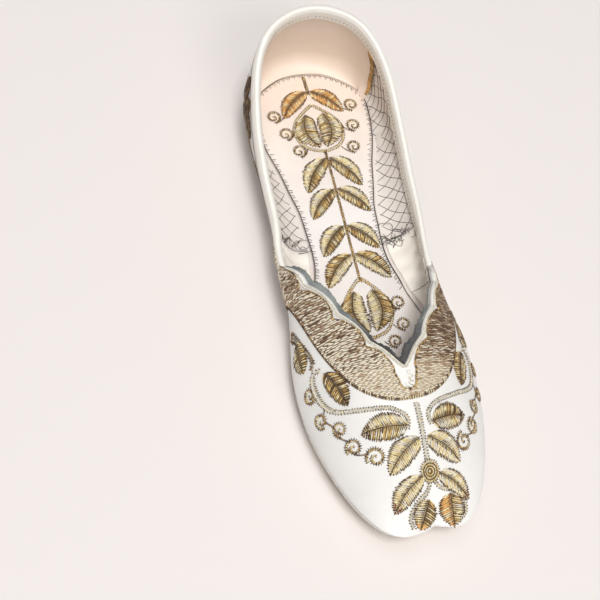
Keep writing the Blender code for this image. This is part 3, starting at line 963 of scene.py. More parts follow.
def binding_stitches(line, normals):
    """Running stitches along the inner side of the binding."""
    p, way = resample(line, SEAM_PITCH)
    n = -normals[np.linspace(0, len(normals) - 1, len(p)).astype(int)]
    path = between(p - way * SEAM_HALF, p + way * SEAM_HALF)[0] + n[:, None] * 0.1
    yarn = Yarn("binding_stitches", [ROLL_THREAD], "binding_leather")
    yarn.both(path[3:-1], np.repeat(n[3:-1, None], 4, 1), 0.42, 0.4, 0)
    yarn.build()


binding_stitches(*binding())

# ---------------- throat band
VAMP = Ground(OUTSIDE, (0, 0, 60))
THROAT_LONG = CORNER_Y - THROAT_Y
LOWER_PLAN = [(0.0, -74.6), (5.5, -74.0), (11.0, -71.9), (16.5, -68.3), (21.6, -63.0), (27.8, -52.4),
              (31.6, -42.0), (34.3, -30.0), (36.2, -18.0), (37.0, -9.5)]
LOWER_SIDE = [(-3.0, -0.12), (3.0, -0.5), (7.5, -0.95)]
BAND_FRONT, BAND_BACK, BAND_LIFT, BAND_T = -74.4, 7.5, 0.2, 0.18
HATCH, HATCH_STEP, HATCH_LENGTH = unit(np.array([-0.998, 0.06])), 0.78, 3.4
BRICK_SHIFTS = (0, 1.9, 0.7, 2.7, 1.3)


def throat_edge(n):
    """Plan points of the scalloped edge, right half, from the V's foot to the corner, with normals."""
    y = THROAT_Y + THROAT_LONG * np.linspace(0, 1, n) ** 1.25
    e = np.stack([throat_x(y), y], -1)
    return e, outward(e)


def band_inner():
    """Inner border of the stitched band, right half: up the wedge under the V, then along the scallops."""
    y = THROAT_Y + THROAT_LONG * np.linspace(0.045, 1, 200)
    t = (y - THROAT_Y) / THROAT_LONG
    cusp = (1 - np.abs(np.sin(math.pi * SCALLOPS_PER_SIDE * t))) ** 1.5
    gap = 1.25 + 1.7 * cusp * np.clip(1.6 - t, 0.5, 1) + 2.2 * np.clip(1 - t * 4, 0, 1)
    gap *= 1 - 0.9 * ease((t - 0.8) / 0.2)
    plain = np.stack([throat_x(y, 0.0), y], -1)
    edge = np.stack([throat_x(y), y], -1) + outward(plain) * gap[:, None]
    wedge = curve([(0.0, -70.6), (2.0, -70.2), (3.4, -68.4), (4.0, -65.6), (4.9, -62.4), edge[0]])
    return np.concatenate([wedge[:-1], edge])


class Flat:
    """The upper's skin laid flat: (across, y), across being mm down the section from the top line."""

    def __init__(self):
        self.y, self.a = np.linspace(-80, 12, 200), np.linspace(0, 72, 289)
        self.psi = np.linspace(math.pi / 2, -1, 300)
        self.q = q_at_y(self.y)
        self.arcs = np.array([arc(last_point(q, self.psi)) for q in self.q])
        self.psis = np.array([np.interp(self.a, s, self.psi) for s in self.arcs])

    def look(self, table, y, places, x):
        """Bilinear value of a table with a row for each y and a column for each place."""
        u = np.clip(np.interp(y, self.y, np.arange(len(self.y))), 0, len(table) - 1.001)
        v = np.clip(np.interp(x, places, np.arange(len(places))), 0, len(places) - 1.001)
        i, j = u.astype(int), v.astype(int)
        f, g = u - i, v - j
        low = table[i, j] * (1 - g) + table[i, j + 1] * g
        return low * (1 - f) + (table[i + 1, j] * (1 - g) + table[i + 1, j + 1] * g) * f

    def rows(self, y, psi):
        """(across, y) of the points at psi in the sections at y."""
        return np.stack([self.look(self.arcs, y, -self.psi, -psi), y], -1)

    def skin(self, path):
        """Points and normals at (across, y) on the right half."""
        y = path[..., 1]
        psi, q = self.look(self.psis, y, self.a, np.maximum(path[..., 0], 0)), np.interp(y, self.y, self.q)
        return last_point(q, psi), last_normal(q, psi)


FLAT = Flat()


def band_curves():
    """Inner and lower borders of the stitched band as (across, y) rows, y rising."""
    x, y = band_inner().T
    back = np.linspace(CORNER_Y, BAND_BACK, 30)[1:]
    behind = FLAT.rows(back, top_psi(q_at_y(back))) + np.array([0.6, 0])
    inner = np.concatenate([FLAT.rows(y, psi_at(x, y)), behind])
    x, y = np.array(LOWER_PLAN).T
    rows = np.concatenate([FLAT.rows(y, psi_at(x, y)), FLAT.rows(*np.array(LOWER_SIDE).T)])
    return inner, spline(rows, (30.0, 1.0), (20.0, 60.0))(np.linspace(0, 1, 400))


BAND_IN, BAND_LOW = band_curves()


def band_limits(y):
    """Where the band starts and ends across the section at y."""
    inner, lower = (border[np.argsort(border[:, 1])].T for border in (BAND_IN, BAND_LOW))
    return np.interp(y, inner[1], inner[0], left=0.0), np.interp(y, lower[1], lower[0])


def band_base():
    """Thin stitched-through backing under the band's rows, lighter towards the V: partly its colour, partly
    painted light.
    """
    y = BAND_FRONT + (BAND_BACK - BAND_FRONT - 0.1) * np.linspace(0, 1, 200) ** 1.3
    a, b = band_limits(y)
    share = np.linspace(0, 1, 30)[None]
    across = a[:, None] * (1 - share) + b[:, None] * share
    p, n = FLAT.skin(np.stack([across, np.repeat(y[:, None], 30, 1)], -1))
    p = p + n * BAND_LIFT
    for side in SIDES:
        verts, faces = thick(on_side(side, p), on_side(side, n), BAND_T)
        y = p.reshape(-1, 3)[faces[:, 0] % (p.size // 3), 1]
        # lighter materials towards the V: partly painted light
        shade = sum((y < limit - 4 * RNG.random(len(y))).astype(int) for limit in (-40, -56))
        mesh_object("throat_band_base_" + SIDES[side], verts, faces, BAND[:0:-1], shade)


def hatching():
    """Ends of brick-laid straight stitches, nearly square to the shoe's axis, that fill the band."""
    run = np.arange(-110, 60, 0.12)
    starts, ends = [], []
    for row, c in enumerate(np.arange(-90, 60, HATCH_STEP)):
        line = right_of(HATCH) * c + run[:, None] * HATCH
        a, y = line.T
        inner, lower = band_limits(y)
        inside = (a > inner + 0.1) & (a < lower - 0.1) & (y > BAND_FRONT + 0.2) & (y < BAND_BACK)
        cell = np.floor((run + BRICK_SHIFTS[row % 5] + 0.3 * math.sin(row * 2.3)) / HATCH_LENGTH)
        change = np.flatnonzero(np.diff(np.where(inside, cell, -999)))
        for i, j in zip(change[:-1] + 1, change[1:]):
            if inside[i] and inside[j] and j - i > 3:
                starts.append(line[i])
                ends.append(line[j])
    return np.array(starts), np.array(ends)


def band_stitches():
    """The band's stitches, paler towards the V, partly thread colour and partly painted light; the right
    limb, darker away from the V, is painted shade.
    """
    yarn = Yarn("throat_band_stitches", BAND)
    starts, ends = hatching()
    y, num = starts[:, 1], len(starts)
    k = np.linspace(0, 1, 4)[:, None]
    for side in SIDES:
        slip = RNG.normal(0, 0.08, (num, 1, 2))
        stretch = 0.5 + RNG.normal(0, 0.06, (num, 1, 1))
        middle, half = (starts + ends)[:, None] / 2, (ends - starts)[:, None]
        path = middle + half * (k - 0.5) * 2 * stretch + slip + (k - 0.5) * RNG.normal(0, 0.14, (num, 1, 2))
        path[..., 1] += 0.26 * np.sin(0.26 * path[..., 0] + 0.09 * path[..., 1])
        p, n = FLAT.skin(path)
        p = p + n * (BAND_LIFT + 0.36 * hump(k, 0.04) ** 0.6)
        if side > 0:
            # right limb: the darker thread mix away from the V is painted shade
            pale = np.clip((-y - 36) / 28, 0, 1)
            light, middle, width = 0.04 + 0.86 * pale * pale, 0.93 - 0.36 * (1 - pale) + 0.07 * pale, 0.44
        else:
            # left limb: paler towards the V, partly painted light
            pale = np.clip((-y - 20) / 40, 0, 1)
            light, middle, width = 0.5 + 0.49 * pale, 0.93 + 0.07 * pale, 0.58
            p, n = mirrored(p), mirrored(n)
        roll = RNG.random(num)
        mats = np.where(roll < light, 0, np.where(roll < middle, 1, 2))
        yarn.add(p, n, width + 0.18 * pale + RNG.normal(0, 0.05, num), 0.46, mats)
    yarn.build()


ROPE_PITCH, ROPE_LEAN, ROPE_THREAD = 0.55, 0.35, (0.42, 0.399)


def rope(yarn, rows, wide, rise, mats):
    """Slanted stitches across a path of (across, y) rows, on both sides of the shoe."""
    c, t = resample(rows, ROPE_PITCH)
    w = np.interp(np.linspace(0, 1, len(c)), np.linspace(0, 1, len(wide)), wide)[:, None] / 2
    half = t * ROPE_LEAN - right_of(t) * w
    path, k = between(c - half, c + half)
    p, n = FLAT.skin(path)
    yarn.both(p + n * (0.15 + rise * hump(k)), n, *ROPE_THREAD, mats(len(c)))


def band_borders():
    """Dark twisted border below, thicker and gold round the V's foot, and the stitched inner border."""
    yarn = Yarn("throat_band_borders", GOLD)

    def lower(num):
        gold = np.clip(1 - np.arange(num) / num / 0.3, 0, 1)
        light = np.where(np.arange(num) % 2, PALE, DEEP)
        return np.where(RNG.random(num) < gold * 0.9, light, np.where(RNG.random(num) < 0.85, BROWN, DEEP))

    def inner(num):
        gold = np.clip(1 - np.arange(num) / num / 0.4, 0, 1)
        light = RNG.random(num) < 0.12 + 0.5 * gold
        return np.where(light, MID, np.where(RNG.random(num) < 0.5, DEEP, BROWN))

    rope(yarn, BAND_LOW, (2.2, 1.8, 1.2, 1.0, 1.0, 1.0, 1.0), 0.45, lower)
    rope(yarn, BAND_IN[BAND_IN[:, 1] < CORNER_Y - 1], (1.4, 1.0, 0.8, 0.8, 0.8), 0.4, inner)
    yarn.build()


def throat_piping():
    """Two fine cream cords side by side along the scalloped edge."""
    yarn = Yarn("throat_piping", GOLD)
    e, out = throat_edge(400)
    for off, width in ((0.4, 0.85), (1.15, 0.6)):
        x, y = (e + out * off).T
        x, y = np.maximum(x, 0.0), np.minimum(y, CORNER_Y + 3)
        p, n = on_last(x[x > 0.3], y[x > 0.3])
        p, n = (np.concatenate([mirrored(half)[::-1], half]) for half in (p + n * 0.25, n))
        yarn.cord(p, n, width, CREAM)
    yarn.build()


def wedge_stitches():
    """Cream and grey squiggles of thread on the white wedge under the V."""
    yarn = Yarn("throat_wedge_stitches", GOLD)
    f = np.linspace(0, 1, 12)
    for k in range(8):
        x = RNG.uniform(-2.2, 2.2) + np.sin(f * 5 + k)
        y = -68.6 + 7.0 * RNG.random() + 1.6 * f * (-1) ** k
        p, n = VAMP.at(np.stack([x, y + 0.5 * np.cos(f * 7 + k)], -1))
        yarn.cord(p + n * 0.12, n, 0.34, (CREAM, SAGE)[k % 3 == 0])
    yarn.build()


band_base()
band_stitches()
band_borders()
throat_piping()
wedge_stitches()

# ---------------- embroidered motifs
FRAYED, DARK_ROPE = {BROWN: 5, DEEP: 1}, {BROWN: 3, DEEP: 1}
HERRINGBONE = {CREAM: 5, PALE: 1, SAGE: 1}
LEAF_BASE, LEAF_TIP = 0.62, 0.72
LEAF_FALL = LEAF_BASE + LEAF_TIP
LEAF_PEAK = (LEAF_BASE / LEAF_FALL) ** LEAF_BASE * (LEAF_TIP / LEAF_FALL) ** LEAF_TIP
# Width and lift in mm of a leaf's stitches: padding, long ones, those next to the vein, the dark ones
# between, the frayed ends, the tip and the vein.
PADDING, LONG, NEXT, BETWEEN = (1.1, 0.1), (0.64, 0.46), (0.42, 0.62), (0.34, 0.46)
FRINGE, TIP, VEIN = (0.54, 0.54), (0.7, 0.62), (0.42, 0.7)

# Each half of a leaf: shades at its outside, between those, next to the vein, and of its padding;
# deep is how far the shades next to the vein reach outward.
Half = namedtuple("Half", "out gap near pad deep")
GOLDEN = Half({PALE: 6, CREAM: 3}, {MID: 5, PALE: 3, DEEP: 1}, {DEEP: 2, BROWN: 1, MID: 2}, PALE, 0.8)
SHADED = Half({PALE: 4, CREAM: 3, MID: 1, DEEP: 1}, {DEEP: 3, BROWN: 3}, {BROWN: 3, DEEP: 2}, MID, 1.25)
DARK_HALF = Half({MID: 2, PALE: 2, DEEP: 1, BROWN: 1}, {BROWN: 3}, {BROWN: 3}, DEEP, 1.5)
BRONZE = Half({MID: 3, PALE: 2, DEEP: 1}, {BROWN: 3, DEEP: 1}, {BROWN: 3, DEEP: 1}, DEEP, 1.3)
# brown all over: painted shade for leaves on the heel's outer walls
HEEL_SHADE_HALF = Half({BROWN: 3, DEEP: 1}, {BROWN: 1}, {BROWN: 1}, BROWN, 1.5)
ORANGE = Half({AMBER: 4, PALE: 2}, {DEEP: 1, AMBER: 4}, {DEEP: 1, RUST: 1}, AMBER, 0.9)


def ground_between(base, tip):
    """Tangent plane at the middle of a motif on the upper, and its two ends, given in plan, on that plane."""
    p, n = VAMP.at([base, tip])
    m, mn = VAMP.at([(np.array(base) + np.array(tip)) / 2])
    g = Ground(OUTSIDE, m[0], p[1] - p[0], mn[0] + n[0] * 0.3 + n[1] * 0.3, 10.0)
    return g, *g.flat(p)


def leaf(yarn, ground, base, tip, width, halves, bend, tip_mat=None):
    """A satin leaf: two halves of slanted stitches that meet on a dark vein, with frayed dark ends."""
    base, tip = np.array(base, float), np.array(tip, float)
    length = np.linalg.norm(tip - base)
    d = (tip - base) / length
    s = -right_of(d)
    stitch = partial(lay, yarn, ground)

    def vein(t):
        return base + d * length * t[:, None] + s * (bend * length * np.sin(math.pi * t))[:, None]

    def edge(t, side):
        t = np.clip(t, 0, 1)
        return vein(t) + s * side * (t ** LEAF_BASE * (1 - t) ** LEAF_TIP / LEAF_PEAK * width / 2)[:, None]

    fill, num = np.linspace(0.05, 0.92, int(length / 0.7)), int(length / 0.92)
    for side, half in zip((1, -1), halves):
        rim = edge(fill + 0.1, side) * 0.92 + vein(fill) * 0.08
        stitch(vein(fill), rim, *PADDING, half.pad, sink=0.02, height=0.3)
        t0 = np.linspace(0.01, 0.93, num) + RNG.normal(0, 0.006, num)
        for shift in (0.0, 0.5 / num):
            t = np.clip(t0 + shift, 0, 1)
            a = vein(t) + s * side * 0.1
            way = edge(t + 0.04 + 0.11 * (1 - t), side) - a
            far = 1 + RNG.normal(0, 0.035, (num, 1))
            if not shift:
                stitch(a + way * 0.05, a + way * 0.97 * far, *LONG, half.out)
                continue
            near = (0.3 + 0.35 * RNG.random((num, 1))) * half.deep
            stitch(a, a + way * near, *NEXT, half.near, 3)
            stitch(a + way * near * 0.9, a + way * 0.86, *BETWEEN, half.gap, 3)
            reach = 1.0 + 0.35 / (np.linalg.norm(way, axis=1, keepdims=True) + 0.4)
            stitch(a + way * (2 * far - 1.22), a + way * far * reach, *FRINGE, FRAYED, 3)
        if tip_mat is not None:
            t = np.linspace(0.84, 0.98, 5)
            stitch(vein(t - 0.02), edge(t, side), *TIP, tip_mat, 3)
    v = vein(np.linspace(0.0, 0.97, 22))
    stitch(v[:-1], v[1:] + (v[1:] - v[:-1]) * 0.4, *VEIN, {BROWN: 1}, 3, -0.3)


def on_circle(angle):
    return np.stack([np.cos(angle), np.sin(angle)], -1)


def spiral(yarn, ground, centre, radius, start, turn):
    """A rope of short stitches coiled inwards, with frayed ends round its outside. start in degrees."""
    f = np.linspace(0, 1, 90)
    r = radius * (0.8 - 0.7 * f ** 1.5)
    path = np.array(centre) + on_circle(math.radians(start) + turn * (f * 1.45 * 2 * math.pi)) * r[:, None]
    outer = path + unit(path - np.array(centre)) * radius * 0.12
    satin(yarn, ground, path, lambda f: radius * (0.27 - 0.05 * f), {DEEP: 2, BROWN: 1, MID: 3, PALE: 4},
          0.56, 0.2, 0.46, 0.38, 0.2)
    satin(yarn, ground, (path + outer)[f < 0.8] / 2, 0.5, DARK_ROPE, 0.6, 0.25, 0.36, 0.5)
    ticks(yarn, ground, outer[f < 0.74], -turn, 0.35, 0.75, FRAYED, 0.98, 0.15, 0.42, 0.3)
    ticks(yarn, ground, path, turn, 0.1, radius * 0.15, DARK_ROPE, 1.25, 0.1, 0.34, 0.45)


def stem(yarn, ground, rows, width, light=HERRINGBONE):
    """Pale herringbone line with dark slanted dashes down both sides."""
    path = curve(rows)
    satin(yarn, ground, path, width * 0.74, light, 0.6, 0.35, 0.56, 0.3, 0.1, True)
    p, t = resample(path, 1.05)
    for side in SIDES:
        n = -right_of(t) * side
        slip = t * (0.25 * side) + RNG.normal(0, 0.06, p.shape)
        a = p + n * width * 0.16 + slip
        b = p + n * (width * 0.52 + 0.12) + t * 0.5 + slip
        lay(yarn, ground, a, b, 0.5, 0.5, FRAYED, 3)


# ---------------- vamp embroidery
SCROLL = [(32.4, -51.8), (34.2, -51.7), (35.3, -53.4), (35.7, -56.4), (35.2, -60.8), (33.9, -65.2),
          (31.7, -69.0), (28.7, -71.0), (24.1, -72.4), (17.8, -73.9), (11.4, -75.4)]
BUD_LOOP = {
    1: [(1.0, -105.8), (2.4, -108.4), (8.0, -110.2), (12.6, -112.8), (14.0, -116.4), (12.8, -119.4),
        (9.4, -121.2)],
    -1: [(1.0, -105.8), (2.4, -108.4), (6.8, -111.4), (10.4, -115.0), (11.8, -118.4), (11.4, -121.2)],
}
VAMP_SPIRALS = ((37.4, -57.6, 3.8, 160), (35.6, -68.8, 3.8, 130), (30.2, -75.4, 3.8, 110),
                (26.6, -84.2, 4.2, 70), (19.6, -90.6, 4.8, 60))
TENDRILS = ([(33.8, -67.0), (34.6, -71.4), (32.4, -75.0), (30.8, -80.2), (27.8, -83.4)],
            [(29.0, -85.0), (25.8, -89.4), (22.8, -90.4)])
CORNER_STEM = [(38.1, -28.6), (37.0, -34.6), (35.4, -40.6), (34.2, -45.0), (34.0, -48.2), (34.8, -49.6)]


def vamp_side(yarn, side):
    """Leaves, scroll, bud loop and spirals on one side of the vamp, drifting a little to the right."""
    def place(x, y):
        drift = (1.5 + 1.9 * np.clip((-y - 95) / 25, 0, 1)) * np.clip(1.35 - abs(x) / 18, 0, 1)
        return x * side + drift, y

    def line(rows, *style):
        stem(yarn, VAMP, [place(*row) for row in rows], *style)

    def spray(base, tip, width, halves, bend=0.08, tip_mat=None, longer=1.0):
        ground, a, b = ground_between(place(*base), place(*tip))
        leaf(yarn, ground, a, a + (b - a) * longer, width, halves[::side], bend * side, tip_mat)

    right = side > 0
    spray((5.0, -83.8), (23.0, -82.4), 11.4, (DARK_HALF if right else GOLDEN, SHADED), 0.06, BROWN)
    spray((1.6, -89.0), (15.6, -100.6), 10.8, (GOLDEN, GOLDEN))
    spray((3.4, -103.2), (16.4, -114.6), 9.0, (GOLDEN, GOLDEN), tip_mat=RUST)
    spray((31.2, -53.2), (25.6, -69.4), 9.4, (DARK_HALF, BRONZE if right else DARK_HALF), -0.06, BROWN)
    if right:
        spray((6.6, -111.2), (5.2, -120.8), 12.4, (SHADED, ORANGE), 0.0, None, 1.3)
    else:
        spray((3.4, -111.8), (8.6, -120.4), 9.4, (SHADED, BRONZE), 0.0, AMBER, 1.2)
    line(SCROLL + [(7.4 - 0.7 * side, -77.4), (4.6 - 0.6 * side, -80.8), (5.2 - 0.6 * side, -84.6)], 1.9)
    line(BUD_LOOP[side], 1.6)
    for x, y, radius, start in VAMP_SPIRALS:
        x, y = x + 0.4 + 0.4 * side, y - (1.2 if y > -60 else 2.0)
        ground, a, b = ground_between(place(x - 0.3, y - 0.3), place(x + 0.1, y + 0.1))
        spiral(yarn, ground, (a + b) / 2, radius, start, side)
    for rows in TENDRILS:
        path = curve([place(*row) for row in rows])
        satin(yarn, VAMP, path, 0.7, {DEEP: 1, BROWN: 2}, 0.45, 0.2, 0.34, 0.25)
    spray((36.9, -37.0), (37.4, -49.0), 9.2 - 1.8 * side, (DARK_HALF, BRONZE), 0.04)
    line(CORNER_STEM, 1.3, {SAGE: 2, DEEP: 2, BROWN: 1})


def rosette(yarn):
    """A padded disc with raised rings of gold and brown, and dark ticks round it."""
    def ring(radius):
        return np.array([2.0, -102.3]) + on_circle(np.linspace(0, 2 * math.pi, 60)) * radius

    satin(yarn, VAMP, ring(2.1), 3.9, {MID: 3, DEEP: 1}, 0.7, 0.5, 0.6, 0.35)
    for radius, shades in ((3.5, {MID: 2, PALE: 2}), (2.45, {PALE: 3, MID: 1}), (1.4, {MID: 2, PALE: 2})):
        satin(yarn, VAMP, ring(radius), 0.9, shades, 0.5, 0.35, 0.42, 0.75)
    for radius in (2.95, 1.9, 0.9):
        satin(yarn, VAMP, ring(radius), 0.42, DARK_ROPE, 0.62, 0.5, 0.34, 0.95)
    ticks(yarn, VAMP, ring(4.1), -1, 0.3, 0.6, DARK_ROPE, 0.95, 0.15, 0.44, 0.5)


def vamp_embroidery():
    """One symmetric spray down the vamp: stem, leaves, scrolls, spirals and rosette."""
    yarn = Yarn("vamp_embroidery", GOLD)
    stem(yarn, VAMP, [(1.4, -75.5), (1.5, -83.0), (1.5, -90.0), (1.7, -98.5)], 2.4)
    for side in SIDES:
        vamp_side(yarn, side)
    rosette(yarn)
    yarn.build()


vamp_embroidery()

# ---------------- sock embroidery and edge stitches
ON_SOCK = Ground(SOCK_TREE, (0, 0, 30))
LEAF_PAIRS = (  # base y, tip x, tip y, width, upper and lower half
    (102.0, 15.6, 88.0, 9.4, (ORANGE, ORANGE)), (62.8, 14.0, 45.4, 9.8, (GOLDEN, BRONZE)),
    (45.4, 14.8, 31.2, 9.4, (GOLDEN, BRONZE)), (25.4, 14.2, 11.4, 9.6, (GOLDEN, BRONZE)),
    (10.2, 15.8, -4.4, 9.6, (BRONZE, GOLDEN)),
)
TULIP_LEAVES = ((92.0, 67.5, (SHADED, SHADED)), (-5.0, -31.0, (BRONZE, GOLDEN)))
TULIP_FRAMES = ((93.5, 12.7, 66.5), (-2.5, 11.6, -32.5))
SOCK_SPIRALS = (  # x, y, radius, side, x of the tail's end
    (20.6, 92.0, 4.0, 1, 13.6), (18.6, 79.8, 4.0, 1, 12.2), (15.4, 67.6, 3.9, 1, 9.0),
    (20.4, 89.0, 4.0, -1, 14.4), (16.8, 78.4, 4.0, -1, 12.2), (12.8, 68.0, 3.9, -1, 8.4),
    (15.6, -17.0, 3.9, 1, 11.0), (15.2, -28.0, 3.7, 1, 10.2), (9.0, -35.8, 3.7, 1, 4.0),
    (16.6, -17.0, 3.9, -1, 11.0), (16.2, -28.0, 3.7, -1, 10.2), (10.2, -35.8, 3.7, -1, 4.0),
)


def sock_embroidery():
    """Stem with leaf pairs, two tulips and spirals, down the middle of the sock."""
    yarn = Yarn("sock_embroidery", GOLD, "insole_leather")
    line = {DEEP: 3, BROWN: 2, MID: 3}

    def place(x, y, side=1):
        return x * side + 0.8 + 0.9 * np.clip((86 - y) / 24, 0, 1), y

    def along(rows, side=1):
        return [place(x, y, side) for x, y in rows]

    stem(yarn, ON_SOCK, along([(0.0, 111.0), (0.0, 100.5)]), 1.5, line)
    stem(yarn, ON_SOCK, along([(0.0, 67.0), (0.0, 45.0), (0.0, 20.0), (0.0, -4.0)]), 1.15, line)
    for side in SIDES:
        for y0, x1, y1, width, halves in LEAF_PAIRS:
            base, tip = place(0.8, y0, side), place(x1 - 0.2, y1 + 0.5 * side, side)
            leaf(yarn, ON_SOCK, base, tip, width, halves[::side], 0.09 * side)
        for top, low, halves in TULIP_LEAVES:
            base, tip = place(4.4, top - 3.4, side), place(2.0, low + 1.5, side)
            leaf(yarn, ON_SOCK, base, tip, 12.4, halves[::side], 0.17 * side)
        for top, wide, low in TULIP_FRAMES:
            tall = top - low
            rows = [(0.4, top), (wide * 0.55, top - tall * 0.2), (wide * 0.93, top - tall * 0.45),
                    (wide * 0.95, top - tall * 0.65), (wide * 0.62, low + tall * 0.1), (0.0, low)]
            stem(yarn, ON_SOCK, along(rows, side), 1.5, {PALE: 3, MID: 2, CREAM: 1})
    for x, y, radius, side, near in SOCK_SPIRALS:
        spiral(yarn, ON_SOCK, place(x, y, side), radius, -90 - 10 * side, -side)
        tail = [(x, y - radius * 0.8), (x * 0.55 + near * 0.45, y - radius * 0.7), (near, y + 0.5)]
        satin(yarn, ON_SOCK, curve(along(tail, side)), 0.7, {DEEP: 2, BROWN: 2}, 0.5, 0.2, 0.36, 0.3)
    yarn.build()


def whip_stitches():
    """Dark slanted stitches over the sock's edge, in pairs, and the dark line sewn along it."""
    yarn = Yarn("sock_edge_stitches", [DARK], "insole_leather")
    u = np.linspace(0.0, 1.0, 900)
    raised = np.clip((sock_point(u, 0)[:, 1] - 70) / 8, 0, 1)
    edge = sock_point(u, 0.25 + 0.4 * raised[:, None])
    for side in SIDES:
        flip = np.array([side, 1])
        path = sock_edge(u[u < 0.62]) * flip
        p, t = resample(path[path[:, 1] > -9], 1.5)
        n = right_of(t) * side
        j = RNG.normal(0, 0.16, (len(p), 1))
        even = (np.arange(len(p)) % 2)[:, None]
        inner = p + n * (2.5 - 0.7 * even + 2 * j) + t * (1.3 - 0.9 * even + j)
        lay(yarn, ON_SOCK, inner, p + n * 0.35, 0.3, 0.24, {0: 1})
        for first, last, wide in ((98, -9, 0.46), (120, -44, 0.3)):
            e = edge[(edge[:, 1] > last) & (edge[:, 1] < first) & (u < 0.75)]
            z = foot_z(e[:, 1]) + INSOLE_T - 0.12 + 0.9 * np.clip((e[:, 1] - 70) / 8, 0, 1)
            line = np.concatenate([e * flip, z[:, None]], 1)
            yarn.cord(line, np.broadcast_to([0.0, 0, 1], line.shape), wide, 0)
    yarn.build()


sock_embroidery()
whip_stitches()


# ---------------- stitches on linings and welt
def lining_point(y, depth, off):
    """Points off mm above the lining, depth mm below its top edge, where the outline is at y; and normals."""
    k = np.interp(y, LIN_Y, np.arange(len(LIN_Y)))
    i = np.clip(k.astype(int), 0, len(LIN_Y) - 2)
    p, n = [], []
    for j, f, d in zip(i, k - i, depth):
        column = LIN[:, j] * (1 - f) + LIN[:, j + 1] * f
        s = arc(column)
        d = min(d, s[-1] - 0.3)
        p.append(rows_at(d, s, column))
        n.append(rows_at(d, s, LIN_N[:, j]))
    n = unit(np.array(n))
    return np.array(p) + n * off, n


def lining_depth(y):
    """Length of the lining from its top edge to the sock, where the outline is at y."""
    return np.interp(y, LIN_Y, np.linalg.norm(np.diff(LIN, axis=0), axis=2).sum(0))


def lattice():
    """Crossing dark threads on both quarter linings."""
    yarn = Yarn("lining_lattice", [DARK])
    pitch, rise, centre, depth = 6.0, 8.0 / 6.0, 14, np.linspace(2.0, 40.0, 46)
    for k in range(-8, 26):
        for lean in (1, -1):
            y = LATTICE_FRONT + k * pitch + lean * (depth - centre) / rise
            ok = (y > LATTICE_FRONT) & (y < PATCH_FRONT - 1) & (depth < lining_depth(y) - 1.6)
            if ok.sum() < 3:
                continue
            for side in SIDES:
                wander = RNG.normal(0, 0.35) + 0.45 * np.sin(depth[ok] * 0.45 + RNG.uniform(0, 6))
                p, n = lining_point(np.maximum(y[ok] + wander, LATTICE_FRONT), depth[ok], 0.08)
                yarn.cord(on_side(side, p), on_side(side, n), 0.28, 0, 0.24)
    yarn.build()


def welt_stitches():
    """Dark slanted stitches round the edge of the welt strip."""
    yarn = Yarn("welt_stitches", [DARK], "welt_leather")
    q = spread(0.0, 1.0, 260)[1:-1]
    p, t = feather(q, WELT_EDGE - 0.1), unit(feather(q + 1e-3, WELT_EDGE) - feather(q - 1e-3, WELT_EDGE))
    n = np.concatenate([right_of(t), 0 * t[:, :1]], 1)[:, None]
    low = np.concatenate([p - t * 0.35, mid_low(p[:, 1:]) + 0.1], 1)
    high = np.concatenate([p + t * 0.35, mid_top(p[:, 1:]) - 0.1], 1)
    yarn.both(between(low, high)[0] + n * 0.12, np.repeat(n, 4, 1), 0.3, 0.24, 0)
    yarn.build()


def patch_edge_stitches():
    """Gold-brown stitching up the heel patch's front edge, on the right as in the photograph."""
    yarn = Yarn("heel_patch_edge_stitches", GOLD)
    depth = np.linspace(5.0, 31.0, 46)
    start = patch_start(depth / 42.0)
    wide = np.interp(depth, (5, 8, 12, 17, 24, 31), (6.0, 5.2, 2.8, 2.4, 3.0, 1.4))
    a, n = lining_point(start - 0.5, depth, 0.9)
    b, _ = lining_point(start + wide, depth + 0.9, 1.0)
    path, k = between(a, b)
    path = path + n[:, None] * 0.3 * np.sin(math.pi * k)
    yarn.add(path, np.repeat(n[:, None], 4, 1), 0.66, 0.5, pick({AMBER: 3, DEEP: 2, MID: 1}, len(depth)))
    yarn.build()


lattice()
welt_stitches()
patch_edge_stitches()

# ---------------- outside of the quarters
# the dark and brown halves towards the heel are painted shade
QUARTER_LEAVES = (  # y, depth, length, width, tilt, lower and upper half
    (17, 25.0, 15, 8.0, 28, (GOLDEN, SHADED)), (29, 12.6, 13, 7.0, -24, (SHADED, GOLDEN)),
    (42, 24.5, 15, 8.0, 26, (GOLDEN, SHADED)), (55, 12.6, 13, 7.0, -22, (GOLDEN, SHADED)),
    (67, 25.0, 15, 8.0, 30, (DARK_HALF, SHADED)), (78, 13.0, 15, 8.4, -16, (DARK_HALF, HEEL_SHADE_HALF)),
    (87, 16.0, 17, 9.8, 62, (HEEL_SHADE_HALF, HEEL_SHADE_HALF)), (95, 15.0, 17, 9.4, 78, (HEEL_SHADE_HALF, HEEL_SHADE_HALF)),
)
QUARTER_SPIRALS = ((28, 27.0), (54, 27.5), (43, 12.5), (80, 27.5))


def wall_point(q, depth):
    """Points and normals on the outer wall, depth mm below the top edge, for outline parameters q."""
    psi = []
    for column, top, d in zip(q, top_psi(q), np.broadcast_to(depth, q.shape)):
        down = np.linspace(top, -1, 160)
        psi.append(np.interp(d, arc(last_point(column, down)), down))
    return last_point(q, np.array(psi)), last_normal(q, np.array(psi))


def wall_rope(yarn, q, depth, width, shades):
    """Slanted stitches along a line on the outer wall, right and left."""
    p0, n0 = wall_point(q, depth - width / 2)
    p1, n1 = wall_point(q, depth + width / 2)
    lean = unit(np.gradient((p0 + p1) / 2, axis=0)) * 0.5
    n = unit(n0 + n1)[:, None]
    path, k = between(p0 - lean, p1 + lean)
    yarn.both(path + n * (0.12 + 0.4 * hump(k)), np.repeat(n, 4, 1), 0.44, 0.4, pick(shades, len(q)))


def side_ground(y, depth, side):
    """Tangent plane on the outer wall: u towards the toe, v down on the right side and up on the left."""
    p, n = wall_point(q_at_y(np.array([float(y)])), depth)
    return Ground(OUTSIDE, on_side(side, p[0]), (0, -1, 0), on_side(side, n[0]), 8.0)


